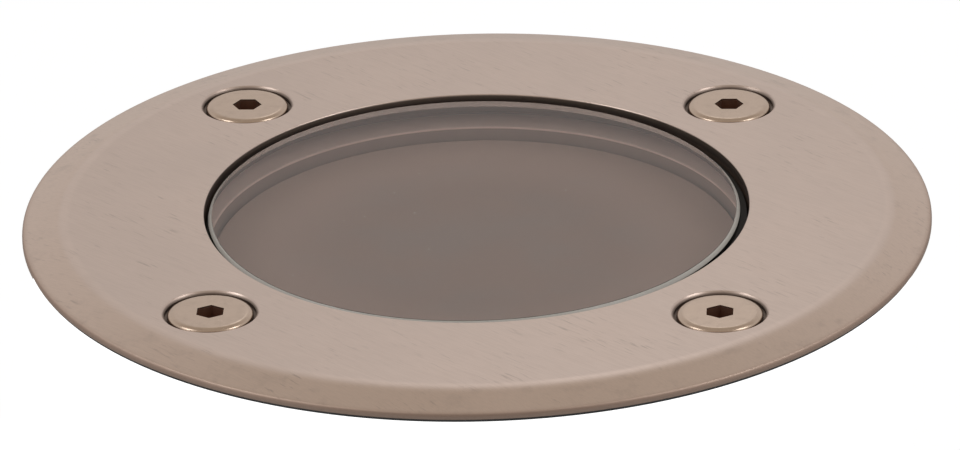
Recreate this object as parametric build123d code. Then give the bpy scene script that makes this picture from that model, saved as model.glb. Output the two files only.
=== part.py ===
from build123d import *
import math
import os

# In ground well light: a stainless face ring with four countersunk socket
# screws clamps a thick glass lens onto a finned housing, and the housing
# stands in a sleeve that stays buried in the paving.
#
# Millimetres, +Z up.  The origin is on the light's axis at ground level, the
# plane of the underside of the sleeve's flange.  The photograph was taken
# from the -Y side.

# ---- Driving dimensions ---------------------------------------------------

# Lens: clear glass with a step that the ring holds down
lens_radius = 30.75
lens_step = 4.15
lens_thickness = 10.35
lens_recess = 0.35
lens_arris = 0.4
lens_shift_x = -0.3

# Face ring, 105 mm across
ring_opening_gap = 0.75
ring_overlap = 3.7
ring_bevel_width = 4.5
ring_bevel_drop = 1.15
ring_edge_round = 0.5
ring_edge_height = 1.8
ring_web_thickness = 3.5
ring_arris = 0.2

# Face screws: M5 countersunk, hex socket
screw_count = 4
screw_radius = 2.5
screw_length = 14.0
screw_hole_gap = 0.25
screw_head_gap = 0.65
screw_head_chamfer = 0.5
screw_tip_chamfer = 0.5
screw_socket_across_flats = 3.0
screw_socket_depth = 2.3
countersink_radius = 5.53
countersink_wall_gap = 0.32
countersink_wall_depth = 0.75
back_socket_turn = 0.0
front_socket_turn = 30.0

# Nylon washers that keep the screws in the ring
retainer_width = 1.2

# Gaskets
gasket_thickness = 0.8
lens_gasket_wall = 0.8
lens_gasket_lip_drop = 1.05
gasket_hole_gap = 0.5

# Spacer ring and diffuser
spacer_bore_gap = 0.15
spacer_ledge_width = 2.4
spacer_ledge_thickness = 2.1
diffuser_gap = 1.5
diffuser_thickness = 2.0
diffuser_chamfer = 0.3

# Housing
collar_ledge_width = 5.0
collar_ledge_thickness = 3.0
collar_inner_wall = 2.6
collar_outer_wall = 2.8
collar_roof = 6.0
boss_wall = 1.75
boss_inner_wall = 1.25
boss_outer_wall = 2.35
insert_wall = 0.75
insert_length = 10.0
insert_hole_extra = 1.5
can_step_width = 3.0
can_wall = 3.0
can_step_drop = 2.0
can_floor_thickness = 4.0
can_depth = 84.0
lug_reach = 6.2
lug_width = 10.0
lug_height = 8.0
lug_start_angle = 90.0
module_screw_count = 3

# Cooling fins and the spring pads between them
fin_count = 24
fin_reach = 10.0
fin_thickness = 1.6
fin_stop_above_floor = 0.5
pad_count = 3
pad_start_angle = 7.5
pad_width = 12.0
pad_top_drop = 5.0
pad_height = 26.0

# Leaf springs that hold the housing in the sleeve
spring_width = 8.0
spring_thickness = 0.6
spring_play = 0.7
spring_tail = 24.0
spring_screw_drop = 6.0

# LED module
reflector_depth = 12.0
reflector_wall = 1.5
reflector_rim_thickness = 1.0
reflector_mouth_inset = 0.7
reflector_base_gap = 5.0
board_gap = 3.5
board_thickness = 1.6
pad_layer_thickness = 0.4
pad_layer_inset = 0.5
spreader_thickness = 4.0
chip_side = 3.0
chip_height = 0.8
chip_dome_radius = 1.2
chip_dome_height = 0.3
chip_ring_counts = (1, 6, 12)
chip_ring_inset = 13.5
module_screw_inset = 3.4
module_screw_length = 11.0

# Small pan-head screws of the inside, M3
small_screw_radius = 1.5
small_head_width = 1.0
small_head_chamfer = 0.3
small_head_height = 1.6
small_socket_across_flats = 2.0
small_socket_depth = 1.0
thread_gap = 0.02

# LED driver
driver_length = 28.0
driver_width = 20.0
driver_height = 18.0
driver_round = 1.5
driver_ear_length = 10.0
driver_ear_reach = 6.0
driver_ear_thickness = 2.0
driver_screw_length = 6.0

# Terminal block on the housing floor
block_edge_gap = 4.0
block_pitch = 6.0
block_pole_count = 3
block_width = 16.0
block_height = 14.0
block_step = 3.5
block_step_height = 7.0
block_entry_radius = 1.6
block_entry_depth = 5.0
block_entry_height = 4.0
block_well_offset = 2.4
block_well_gap = 0.2
block_well_depth = 4.5
block_screw_radius = 1.8
block_screw_height = 2.4
block_slot_width = 0.6
block_slot_depth = 0.8

# Leads inside the housing
led_lead_radius = 0.8
led_lead_spacing = 4.4
led_lead_run = 7.0
led_lead_bend = 4.6
led_lead_drop = 9.0
mains_lead_radius = 1.1
mains_lead_out = 7.0
mains_lead_rise = 0.5
mains_lead_reach = 9.0
mains_entry_y = 4.5
mains_entry_run = 7.0
live_entry_x = -10.0
neutral_entry_x = -4.0
earth_lead_out = 4.0
earth_lead_run = 4.5
lead_end_play = 1.0
lead_hole_gap = 0.6
lead_share = 0.45

# Earth point
earth_angle = 63.0
earth_edge_gap = 1.0
earth_boss_radius = 4.5
earth_boss_height = 4.0
earth_screw_radius = 2.0
earth_screw_length = 4.5
earth_head_radius = 3.2
earth_head_chamfer = 0.4
earth_head_height = 2.4
earth_slot_width = 1.2
earth_tag_radius = 4.0
earth_tag_thickness = 0.8
earth_barrel_radius = 1.7
earth_barrel_length = 6.0

# Cable gland, M16
gland_edge_gap = 0.6
gland_y = -4.0
gland_thread_radius = 7.9
gland_hole_gap = 0.2
gland_across_flats = 22.0
gland_flange_height = 5.0
gland_bore_radius = 4.6
gland_stub_length = 10.5
gland_seal_radius = 6.1
gland_seal_bore_radius = 3.6
gland_seal_length = 10.0
gland_seal_gap = 0.1
gland_seal_stand_out = 2.0
gland_washer_radius = 11.0
gland_washer_thickness = 1.5
gland_locknut_height = 5.0
gland_thread_past_nut = 3.0
gland_nut_across_flats = 20.0
gland_nut_gap = 1.0
gland_nut_floor = 3.5
gland_nut_exit_radius = 4.4
gland_nut_round = 2.0

# Sleeve
sleeve_lip_inset = 0.3
sleeve_lip_thickness = 0.5
sleeve_step_inset = 1.0
sleeve_step_height = 1.2
sleeve_wall = 2.2
sleeve_band_height = 24.0
sleeve_step_in = 1.9
sleeve_depth = 130.0
sleeve_floor_thickness = 2.5
sleeve_rib_count = 12
sleeve_rib_width = 2.0
sleeve_rib_inset = 0.4
sleeve_hoop_count = 3
sleeve_hoop_pitch = 26.0
sleeve_hoop_height = 2.0
cable_slot_width = 20.0
cable_slot_height = 24.0
drain_hole_radius = 8.0
drain_slot_count = 8
drain_slot_length = 18.0
drain_slot_width = 4.0
drain_slot_circle = 26.0

# Gravel screen on the sleeve's floor
screen_thickness = 1.6
screen_hole_radius = 1.5
screen_ring_pitch = 9.0
screen_ring_counts = (1, 6, 12, 20, 28)

# Clearances
slide_gap = 0.3
collar_gap = 0.5
turn_gap = 0.05
cutter_reach = 5.0

# ---- Levels and radii that follow -------------------------------------------

lens_flange_radius = lens_radius + lens_step
collar_bore_radius = lens_flange_radius + lens_gasket_wall + slide_gap
insert_radius = screw_radius + insert_wall
boss_radius = insert_radius + boss_wall
screw_circle_radius = collar_bore_radius + boss_inner_wall + insert_radius
collar_radius = screw_circle_radius + insert_radius + boss_outer_wall
sleeve_bore = collar_radius + collar_gap
sleeve_radius = sleeve_bore + sleeve_wall
sleeve_step_radius = sleeve_radius - sleeve_step_inset
ring_radius = sleeve_radius + ring_overlap
ring_flat_radius = ring_radius - ring_bevel_width
ring_opening_radius = lens_radius + ring_opening_gap
sleeve_lip_radius = ring_radius - sleeve_lip_inset
screw_hole_radius = screw_radius + screw_hole_gap
screw_head_radius = countersink_radius - screw_head_gap
countersink_wall_radius = screw_head_radius + countersink_wall_gap
retainer_radius = screw_radius + retainer_width
small_head_radius = small_screw_radius + small_head_width

ring_top = sleeve_lip_thickness + ring_edge_height
ring_web_bottom = ring_top - ring_web_thickness
collar_top = ring_web_bottom - gasket_thickness

lens_top = ring_top - lens_recess
lens_bottom = lens_top - lens_thickness
lens_shoulder = collar_top

diffuser_top = lens_bottom - diffuser_gap
diffuser_bottom = diffuser_top - diffuser_thickness
spacer_bottom = diffuser_bottom - spacer_ledge_thickness
collar_bottom = spacer_bottom - collar_ledge_thickness

board_top = spacer_bottom - reflector_depth
pad_layer_top = board_top - board_thickness
spreader_top = pad_layer_top - pad_layer_thickness
spreader_bottom = spreader_top - spreader_thickness
can_step_level = spreader_bottom - can_step_drop
can_bottom = -can_depth
can_floor = can_bottom + can_floor_thickness
spacer_bore_radius = lens_radius + spacer_bore_gap
spacer_ledge_radius = spacer_bore_radius - spacer_ledge_width
can_upper_bore = collar_bore_radius - collar_ledge_width
can_lower_bore = can_upper_bore - can_step_width
can_upper_radius = can_upper_bore + can_wall
can_lower_radius = can_lower_bore + can_wall
fin_radius = can_lower_radius + fin_reach
lug_inner_radius = can_lower_bore - lug_reach

board_radius = can_upper_bore - board_gap
chip_circle_radius = board_radius - chip_ring_inset
reflector_mouth_radius = spacer_ledge_radius - reflector_mouth_inset
reflector_base_radius = chip_circle_radius + reflector_base_gap
module_screw_circle = can_lower_bore - module_screw_inset

pad_top = collar_bottom - pad_top_drop
spring_root = fin_radius

earth_circle = can_lower_bore - earth_boss_radius - earth_edge_gap
earth_x = earth_circle * math.cos(math.radians(earth_angle))
earth_y = earth_circle * math.sin(math.radians(earth_angle))
block_centre_x = block_edge_gap + block_pole_count * block_pitch / 2 - can_lower_bore
block_well_radius = block_screw_radius + block_well_gap

gland_x = can_lower_bore - gland_across_flats / math.sqrt(3) - gland_edge_gap
gland_flange_top = can_bottom - gland_washer_thickness
gland_flange_bottom = gland_flange_top - gland_flange_height
gland_end = gland_flange_bottom - gland_stub_length
gland_seal_bottom = gland_end - gland_seal_stand_out
gland_seal_top = gland_seal_bottom + gland_seal_length
gland_nut_top = gland_flange_bottom - gland_nut_gap
gland_nut_shelf = gland_seal_bottom - slide_gap
gland_nut_bottom = gland_nut_shelf - gland_nut_floor
gland_thread_top = can_floor + gland_locknut_height + gland_thread_past_nut

sleeve_bottom = -sleeve_depth
sleeve_floor = sleeve_bottom + sleeve_floor_thickness
sleeve_low_radius = sleeve_radius - sleeve_step_in
sleeve_low_bore = sleeve_low_radius - sleeve_wall

screw_start_angle = 180.0 / screw_count
gland_place = Pos(gland_x, gland_y, 0)
bottom_up = (Align.CENTER, Align.CENTER, Align.MIN)


# ---- Shape helpers ----------------------------------------------------------


def disc(radius, low, high):
    """An upright cylinder on the Z axis between two levels."""
    return Pos(0, 0, low) * Cylinder(radius, high - low, align=bottom_up)


def tube(outer, inner, low, high):
    """An upright tube on the Z axis between two levels."""
    return disc(outer, low, high) - disc(inner, low - 1, high + 1)


def turned(*corners):
    """The solid swept once round the Z axis by an outline of (radius, height) corners."""
    outline = make_face(Polyline(*corners, close=True))
    return revolve(Plane.XZ * outline, Axis.Z)


def hex_bar(across_flats, low, high, turn=0.0):
    """An upright hexagonal bar between two levels, with a corner at the turn angle."""
    outline = RegularPolygon(across_flats / 2, 6, major_radius=False, rotation=turn)
    return Pos(0, 0, low) * extrude(outline, high - low)


def block(length, width, low, high):
    """An upright box on the Z axis between two levels."""
    return Pos(0, 0, low) * Box(length, width, high - low, align=bottom_up)


def round_edges(solid, radius, low, high):
    """The solid's circular edges of one radius between two levels."""
    def wanted(edge):
        return abs(edge.radius - radius) < 0.01 and low < edge.center().Z < high

    return solid.edges().filter_by(GeomType.CIRCLE).filter_by(wanted)


def polar(radius, count, start=0.0):
    """Evenly spaced places on a circle, each turned to face outwards."""
    return [loc for loc in PolarLocations(radius, count, start)]


def ringed_places(counts, outer_radius):
    """Places on evenly spaced rings from the centre out to a radius."""
    places = []
    for i, count in enumerate(counts):
        places += polar(outer_radius * i / (len(counts) - 1), count)
    return places


def grouped(solids):
    """Several separate solids as one node."""
    return Compound(children=[part.solid() for part in solids])


def pan_screw(length):
    """A pan-head M3 screw with its head's underside at z = 0, pointing down."""
    head = disc(small_head_radius, 0, small_head_height)
    rim = round_edges(head, small_head_radius, small_head_height / 2, 2 * small_head_height)
    head = chamfer(rim, small_head_chamfer)
    shank = disc(small_screw_radius - thread_gap, -length, 0)
    low = small_head_height - small_socket_depth
    return head + shank - hex_bar(small_socket_across_flats, low, 2 * small_head_height)


def lead(points, radius, bends):
    """A round insulated wire along straight runs that tangent arcs join."""
    path = FilletPolyline(*points, radius=bends)
    start = Plane(origin=path @ 0, z_dir=path % 0)
    wire = sweep(start * Circle(radius), path=path)
    share = wire.volume / (math.pi * radius ** 2 * path.length)
    print(f"lead: length {path.length:.1f}, bends {[round(b, 1) for b in bends]}, volume share {share:.4f}")
    return wire


def bend_radii(points):
    """The largest sensible arc at each inner corner of a route."""
    corners = [Vector(*p) for p in points]
    radii = []
    for before, here, after in zip(corners, corners[1:], corners[2:]):
        turn = (here - before).get_angle(after - here)
        shorter = min((here - before).length, (after - here).length)
        radii.append(lead_share * shorter / math.tan(math.radians(turn) / 2))
    return radii


# ---- Face: ring, screws, lens ----------------------------------------------


def make_face_ring():
    """Turned stainless ring: flat top, shallow bevel, countersunk and spot-faced screw holes."""
    recess_radius = sleeve_step_radius + slide_gap
    recess_top = sleeve_step_height + turn_gap
    ring = turned(
        (ring_opening_radius, ring_web_bottom),
        (ring_opening_radius, ring_top - ring_arris),
        (ring_opening_radius + ring_arris, ring_top),
        (ring_flat_radius, ring_top),
        (ring_radius, ring_top - ring_bevel_drop),
        (ring_radius, sleeve_lip_thickness),
        (recess_radius, sleeve_lip_thickness),
        (recess_radius, recess_top),
        (collar_radius, recess_top),
        (collar_radius, ring_web_bottom),
    )
    rim = round_edges(ring, ring_radius, sleeve_lip_thickness + 0.1, ring_top)
    ring = fillet(rim, ring_edge_round)
    sink_bottom = ring_top - (countersink_radius - screw_hole_radius)
    wall_bottom = ring_top - countersink_wall_depth
    sink = turned(
        (0, ring_top + 1),
        (countersink_radius + 1, ring_top + 1),
        (countersink_wall_radius, ring_top - (countersink_radius - countersink_wall_radius)),
        (countersink_wall_radius, wall_bottom),
        (countersink_radius - countersink_wall_depth, wall_bottom),
        (screw_hole_radius, sink_bottom),
        (screw_hole_radius, ring_web_bottom - 1),
        (0, ring_web_bottom - 1),
    )
    for place in polar(screw_circle_radius, screw_count, screw_start_angle):
        ring -= place * sink
    return ring


def make_face_screw(socket_turn):
    """Countersunk socket screw on the Z axis, its head flush with the ring."""
    cone_top_radius = countersink_radius - turn_gap * math.sqrt(2)
    land_bottom = ring_top - (cone_top_radius - screw_head_radius)
    cone_bottom = ring_top - (cone_top_radius - screw_radius)
    tip = ring_top - screw_length
    body = turned(
        (0, ring_top),
        (screw_head_radius - screw_head_chamfer, ring_top),
        (screw_head_radius, ring_top - screw_head_chamfer),
        (screw_head_radius, land_bottom),
        (screw_radius, cone_bottom),
        (screw_radius, tip + screw_tip_chamfer),
        (screw_radius - screw_tip_chamfer, tip),
        (0, tip),
    )
    socket_floor = ring_top - screw_socket_depth
    return body - hex_bar(screw_socket_across_flats, socket_floor, ring_top + 1, socket_turn)


def make_screw_retainers():
    """One flat nylon washer on each face screw, under the ring."""
    washer = tube(retainer_radius, screw_radius + turn_gap, collar_top, ring_web_bottom)
    return [place * washer for place in polar(screw_circle_radius, screw_count, screw_start_angle)]


def make_lens():
    """Stepped glass disc, sitting a little off centre as photographed."""
    glass = turned(
        (0, lens_bottom),
        (lens_flange_radius - lens_arris, lens_bottom),
        (lens_flange_radius, lens_bottom + lens_arris),
        (lens_flange_radius, lens_shoulder - lens_arris),
        (lens_flange_radius - lens_arris, lens_shoulder),
        (lens_radius, lens_shoulder),
        (lens_radius, lens_top - lens_arris),
        (lens_radius - lens_arris, lens_top),
        (0, lens_top),
    )
    return Pos(lens_shift_x, 0, 0) * glass


def make_lens_gasket():
    """Black silicone channel round the lens flange, with a lip up the ring's bore."""
    outer = lens_flange_radius + lens_gasket_wall
    inner = lens_radius + lens_shift_x - lens_gasket_wall
    lip_outer = ring_opening_radius - slide_gap
    channel = tube(outer, inner, lens_bottom, ring_web_bottom)
    lip = tube(lip_outer, inner, ring_web_bottom, lens_top - lens_gasket_lip_drop)
    glass_core = Pos(lens_shift_x, 0, 0) * (
        disc(lens_flange_radius, lens_bottom - 1, lens_shoulder)
        + disc(lens_radius, lens_shoulder, lens_top)
    )
    return channel + lip - glass_core


def make_housing_gasket():
    """Flat ring of black rubber between the housing's collar and the face ring."""
    flat = tube(collar_radius - slide_gap, collar_bore_radius, collar_top, ring_web_bottom)
    hole = disc(retainer_radius + gasket_hole_gap, collar_top - 1, ring_web_bottom + 1)
    for place in polar(screw_circle_radius, screw_count, screw_start_angle):
        flat -= place * hole
    return flat


def make_spacer_ring():
    """Aluminium ring that the lens stands on, with a ledge for the diffuser."""
    outer = collar_bore_radius - slide_gap
    return turned(
        (outer, spacer_bottom),
        (outer, lens_bottom),
        (spacer_bore_radius, lens_bottom),
        (spacer_bore_radius, diffuser_bottom),
        (spacer_ledge_radius, diffuser_bottom),
        (spacer_ledge_radius, spacer_bottom),
    )


def make_diffuser():
    """Opal disc on the spacer ring's ledge."""
    radius = spacer_bore_radius - slide_gap
    opal = disc(radius, diffuser_bottom, diffuser_top)
    return chamfer(round_edges(opal, radius, diffuser_bottom - 1, diffuser_top + 1), diffuser_chamfer)


# ---- Housing ---------------------------------------------------------------


def housing_outside():
    """Collar, can and fins before the inside is cut out."""
    body = disc(collar_radius, collar_bottom, collar_top)
    body += disc(can_upper_radius, can_step_level, collar_bottom)
    body += disc(can_lower_radius, can_bottom, can_step_level)
    fin_low = can_bottom + fin_stop_above_floor
    fin_root = can_lower_bore + can_wall / 2
    fin = Pos((fin_root + fin_radius) / 2, 0, 0) * block(
        fin_radius - fin_root, fin_thickness, fin_low, collar_bottom
    )
    body += [Rot(0, 0, i * 360 / fin_count) * fin for i in range(fin_count)]
    pad = Pos((fin_root + spring_root) / 2, 0, 0) * block(
        spring_root - fin_root, pad_width, pad_top - pad_height, pad_top
    )
    body += [Rot(0, 0, pad_start_angle + i * 360 / pad_count) * pad for i in range(pad_count)]
    return body


def make_housing():
    """Die-cast housing: bored collar with screw bosses, finned can and floor."""
    body = housing_outside()
    body -= disc(collar_bore_radius, spacer_bottom, collar_top + 1)
    body -= disc(can_upper_bore, spreader_bottom, spacer_bottom + 1)
    body -= disc(can_lower_bore, can_floor, spreader_bottom + 1)

    channel_outer = collar_radius - collar_outer_wall
    channel_inner = collar_bore_radius + collar_inner_wall
    channel = tube(channel_outer, channel_inner, collar_bottom - 1, collar_top - collar_roof)
    fin_zone = disc(fin_radius, collar_bottom - 1, collar_bottom)
    boss = disc(boss_radius, collar_bottom, collar_top - collar_roof)
    for place in polar(screw_circle_radius, screw_count, screw_start_angle):
        channel -= place * boss
    body -= channel - fin_zone

    hole_bottom = collar_top - insert_length - insert_hole_extra
    insert_hole = disc(insert_radius, hole_bottom, collar_top + 1)
    for place in polar(screw_circle_radius, screw_count, screw_start_angle):
        body -= place * insert_hole

    lug_outer = can_lower_bore + can_wall / 2
    lug = Pos((lug_inner_radius + lug_outer) / 2, 0, 0) * block(
        lug_outer - lug_inner_radius, lug_width, spreader_bottom - lug_height, spreader_bottom
    )
    lug_hole = Pos(module_screw_circle, 0, 0) * disc(
        small_screw_radius, spreader_bottom - lug_height - 1, spreader_bottom + 1
    )
    for i in range(module_screw_count):
        turn = Rot(0, 0, lug_start_angle + i * 360 / module_screw_count)
        body += turn * lug
        body -= turn * lug_hole

    spring_hole = Rot(0, 90, 0) * Cylinder(small_screw_radius, 2 * cutter_reach)
    spring_hole = Pos(spring_root - cutter_reach, 0, pad_top - spring_screw_drop) * spring_hole
    for i in range(pad_count):
        body -= Rot(0, 0, pad_start_angle + i * 360 / pad_count) * spring_hole

    boss = Pos(earth_x, earth_y, 0) * disc(earth_boss_radius, can_floor - 1, can_floor + earth_boss_height)
    earth_hole = Pos(earth_x, earth_y, 0) * disc(
        earth_screw_radius, can_floor, can_floor + earth_boss_height + 1
    )
    body += boss
    body -= earth_hole
    body -= gland_place * disc(gland_thread_radius + gland_hole_gap, can_bottom - 1, can_floor + 1)
    return body


def make_threaded_inserts():
    """One brass M5 insert in each boss of the collar."""
    insert = tube(
        insert_radius - thread_gap, screw_radius + turn_gap, collar_top - insert_length, collar_top
    )
    return [place * insert for place in polar(screw_circle_radius, screw_count, screw_start_angle)]


def make_retaining_springs():
    """Three bowed leaf springs on the pads of the housing."""
    root = spring_root
    top = pad_top
    bow_top = pad_top - 2 * spring_screw_drop
    bow_bottom = bow_top - spring_tail
    inner_mid = sleeve_low_bore - spring_play - spring_thickness
    face = root + spring_thickness
    edge = Polyline((root, bow_top), (root, top), (face, top), (face, bow_top))
    outer_arc = ThreePointArc(
        (face, bow_top),
        (inner_mid + spring_thickness, (bow_top + bow_bottom) / 2),
        (face + spring_thickness, bow_bottom),
    )
    foot = Line((face + spring_thickness, bow_bottom), (face, bow_bottom))
    inner_arc = ThreePointArc(
        (face, bow_bottom), (inner_mid, (bow_top + bow_bottom) / 2), (root, bow_top)
    )
    outline = make_face(edge + outer_arc + foot + inner_arc)
    leaf = extrude(Plane.XZ * outline, spring_width / 2, both=True)
    hole = Rot(0, 90, 0) * Cylinder(small_screw_radius + thread_gap, cutter_reach)
    leaf -= Pos(root, 0, pad_top - spring_screw_drop) * hole
    return [Rot(0, 0, pad_start_angle + i * 360 / pad_count) * leaf for i in range(pad_count)]


def make_spring_screws():
    """One M3 screw through the top of each leaf spring."""
    screw = Rot(0, 90, 0) * pan_screw(cutter_reach)
    screw = Pos(spring_root + spring_thickness, 0, pad_top - spring_screw_drop) * screw
    return [Rot(0, 0, pad_start_angle + i * 360 / pad_count) * screw for i in range(pad_count)]


# ---- LED module ------------------------------------------------------------


def module_screw_places():
    """Where the three module screws stand, over the housing's lugs."""
    return polar(module_screw_circle, module_screw_count, lug_start_angle)


def led_lead_places():
    """Where the two LED leads pass up through the heat spreader."""
    x = driver_length / 2 + led_lead_run
    return [Pos(x, side * led_lead_spacing / 2, 0) for side in (-1, 1)]


def pierced(sheet, low, high, with_leads=True):
    """A flat piece of the module with its screw holes and lead holes."""
    screw_hole = disc(small_screw_radius + lead_hole_gap / 2, low - 1, high + 1)
    for place in module_screw_places():
        sheet -= place * screw_hole
    if with_leads:
        lead_hole = disc(led_lead_radius + lead_hole_gap, low - 1, high + 1)
        for place in led_lead_places():
            sheet -= place * lead_hole
    return sheet


def make_reflector():
    """White conical cup between the LED board and the diffuser."""
    rim_radius = can_upper_bore - slide_gap
    rim_bottom = spacer_bottom - reflector_rim_thickness
    return turned(
        (reflector_mouth_radius, spacer_bottom),
        (rim_radius, spacer_bottom),
        (rim_radius, rim_bottom),
        (reflector_mouth_radius + reflector_wall, rim_bottom),
        (reflector_base_radius + reflector_wall, board_top),
        (reflector_base_radius, board_top),
    )


def make_led_board():
    """Aluminium-core circuit board."""
    return pierced(disc(board_radius, pad_layer_top, board_top), pad_layer_top, board_top, with_leads=False)


def make_led_chips():
    """Square LED packages with a low yellow dome, in rings on the board."""
    package = block(chip_side, chip_side, board_top, board_top + chip_height)
    package += disc(chip_dome_radius, board_top + chip_height, board_top + chip_height + chip_dome_height)
    return [place * package for place in ringed_places(chip_ring_counts, chip_circle_radius)]


def make_thermal_pad():
    """Thin soft pad between the board and the heat spreader."""
    pad = disc(board_radius - pad_layer_inset, spreader_top, pad_layer_top)
    return pierced(pad, spreader_top, pad_layer_top)


def make_heat_spreader():
    """Thick aluminium disc that takes the LEDs' heat to the housing."""
    plate = disc(can_upper_bore - slide_gap, spreader_bottom, spreader_top)
    plate = pierced(plate, spreader_bottom, spreader_top)
    for place in driver_screw_places():
        plate -= place * disc(small_screw_radius, spreader_bottom - 1, spreader_bottom + driver_screw_length)
    return plate


def make_module_screws():
    """Three M3 screws through board and spreader into the housing's lugs."""
    screw = Pos(0, 0, board_top) * pan_screw(module_screw_length)
    return [place * screw for place in module_screw_places()]


# ---- Driver, terminal block and wiring -------------------------------------


def driver_screw_places():
    """Where the driver's two ears are screwed to the heat spreader."""
    y = driver_width / 2 + driver_ear_reach / 2
    return [Pos(0, side * y, 0) for side in (-1, 1)]


def make_driver_case():
    """Sealed LED driver under the heat spreader, with two screw ears."""
    case = block(driver_length, driver_width, spreader_bottom - driver_height, spreader_bottom)
    case = fillet(case.edges().filter_by(Axis.Z), driver_round)
    ears = block(
        driver_ear_length,
        driver_width + 2 * driver_ear_reach,
        spreader_bottom - driver_ear_thickness,
        spreader_bottom,
    )
    case += ears
    ear_bottom = spreader_bottom - driver_ear_thickness
    hole = disc(small_screw_radius + thread_gap, ear_bottom - 1, spreader_bottom + 1)
    for place in driver_screw_places():
        case -= place * hole
    return case


def make_driver_screws():
    """Two M3 screws that hang the driver from the heat spreader."""
    depth = spreader_bottom - driver_ear_thickness
    screw = Pos(0, 0, depth) * Rot(180, 0, 0) * pan_screw(driver_screw_length - 1)
    return [place * screw for place in driver_screw_places()]


def block_pole_xs():
    """The x of each pole of the terminal block."""
    middle = (block_pole_count - 1) / 2
    return [block_centre_x + (i - middle) * block_pitch for i in range(block_pole_count)]


def make_terminal_block():
    """Moulded screw terminal block with stepped shoulders."""
    length = block_pole_count * block_pitch
    high = can_floor + block_height
    body = block(length, block_width, can_floor, can_floor + block_step_height)
    body += block(length, block_width - 2 * block_step, can_floor, high)
    body = Pos(block_centre_x, 0, 0) * body
    entry_z = can_floor + block_entry_height
    for x in block_pole_xs():
        for side in (-1, 1):
            entry_y = side * (block_width - block_entry_depth) / 2
            body -= Pos(x, entry_y, entry_z) * Rot(90, 0, 0) * Cylinder(block_entry_radius, block_entry_depth)
            well = disc(block_well_radius, high - block_well_depth, high + 1)
            body -= Pos(x, side * block_well_offset, 0) * well
    return body


def make_terminal_screws():
    """Slotted clamp screws in the wells of the terminal block."""
    low = can_floor + block_height - block_well_depth
    high = low + block_screw_height
    screw = disc(block_screw_radius, low, high)
    screw -= block(3 * block_screw_radius, block_slot_width, high - block_slot_depth, high + 1)
    return [Pos(x, side * block_well_offset, 0) * screw for x in block_pole_xs() for side in (-1, 1)]


def make_led_lead(side):
    """One of the two leads from the driver's end up to the LED board."""
    y = side * led_lead_spacing / 2
    start_z = spreader_bottom - led_lead_drop
    x = driver_length / 2
    route = [(x, y, start_z), (x + led_lead_run, y, start_z), (x + led_lead_run, y, pad_layer_top)]
    return lead(route, led_lead_radius, [led_lead_bend])


def make_mains_lead(pole, target_x):
    """A lead from one pole of the terminal block up into the driver's underside."""
    x = block_pole_xs()[pole]
    start_y = block_width / 2 - block_entry_depth + lead_end_play
    entry_z = can_floor + block_entry_height
    driver_bottom = spreader_bottom - driver_height
    middle_z = (entry_z + driver_bottom) / 2
    route = [
        (x, start_y, entry_z),
        (x, block_width / 2 + mains_lead_out, entry_z + mains_lead_rise),
        ((x + target_x) / 2, block_width / 2 + mains_lead_reach, middle_z),
        (target_x, mains_entry_y, driver_bottom - mains_entry_run),
        (target_x, mains_entry_y, driver_bottom),
    ]
    return lead(route, mains_lead_radius, bend_radii(route))


def make_earth_lead():
    """The lead from the last pole of the terminal block to the earth tag."""
    x = block_pole_xs()[-1]
    start_y = block_width / 2 - block_entry_depth + lead_end_play
    entry_z = can_floor + block_entry_height
    barrel_z = can_floor + earth_boss_height + earth_barrel_radius
    barrel_x = earth_x - earth_tag_radius - earth_barrel_length
    route = [
        (x, start_y, entry_z),
        (x, block_width / 2 + earth_lead_out, entry_z),
        (barrel_x - earth_lead_run, earth_y, barrel_z),
        (barrel_x, earth_y, barrel_z),
    ]
    return lead(route, mains_lead_radius, bend_radii(route))


def make_earth_tag():
    """Tinned ring tag with its crimp barrel, on the earth boss."""
    low = can_floor + earth_boss_height
    ring = tube(earth_tag_radius, earth_screw_radius + thread_gap, low, low + earth_tag_thickness)
    barrel = Rot(0, 90, 0) * Cylinder(earth_barrel_radius, earth_barrel_length)
    barrel_x = -earth_tag_radius - earth_barrel_length / 2
    barrel = Pos(barrel_x, 0, low + earth_barrel_radius) * barrel
    neck_length = 2 * (earth_tag_radius - earth_screw_radius - thread_gap)
    neck = block(neck_length, earth_barrel_radius, low, low + earth_tag_thickness)
    neck = Pos(-earth_tag_radius, 0, 0) * neck
    return Pos(earth_x, earth_y, 0) * (ring + neck + barrel)


def make_earth_screw():
    """Brass M4 screw on the earth boss."""
    seat = can_floor + earth_boss_height + earth_tag_thickness
    top = seat + earth_head_height
    middle = seat + earth_head_height / 2
    head = disc(earth_head_radius, seat, top)
    head = chamfer(round_edges(head, earth_head_radius, middle, top + 1), earth_head_chamfer)
    shank = disc(earth_screw_radius - thread_gap, seat - earth_screw_length, seat)
    slot = block(3 * earth_head_radius, earth_slot_width, middle, top + 1)
    return Pos(earth_x, earth_y, 0) * (head + shank - slot)


# ---- Cable gland -----------------------------------------------------------


def make_gland_body():
    """Gland body: thread through the floor, hexagon outside, socket for the seal."""
    body = disc(gland_thread_radius, gland_end, gland_thread_top)
    body += hex_bar(gland_across_flats, gland_flange_bottom, gland_flange_top)
    body -= disc(gland_bore_radius, gland_end - 1, gland_thread_top + 1)
    body -= disc(gland_seal_radius + gland_seal_gap, gland_end - 1, gland_seal_top)
    return gland_place * body


def make_gland_washer():
    """Rubber washer between the gland's hexagon and the housing floor."""
    return gland_place * tube(
        gland_washer_radius, gland_thread_radius + gland_seal_gap, gland_flange_top, can_bottom
    )


def make_gland_locknut():
    """Thin nut that clamps the gland from inside the housing."""
    nut = hex_bar(gland_across_flats, can_floor, can_floor + gland_locknut_height)
    nut -= disc(gland_thread_radius + turn_gap, can_floor - 1, can_floor + gland_locknut_height + 1)
    return gland_place * nut


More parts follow.
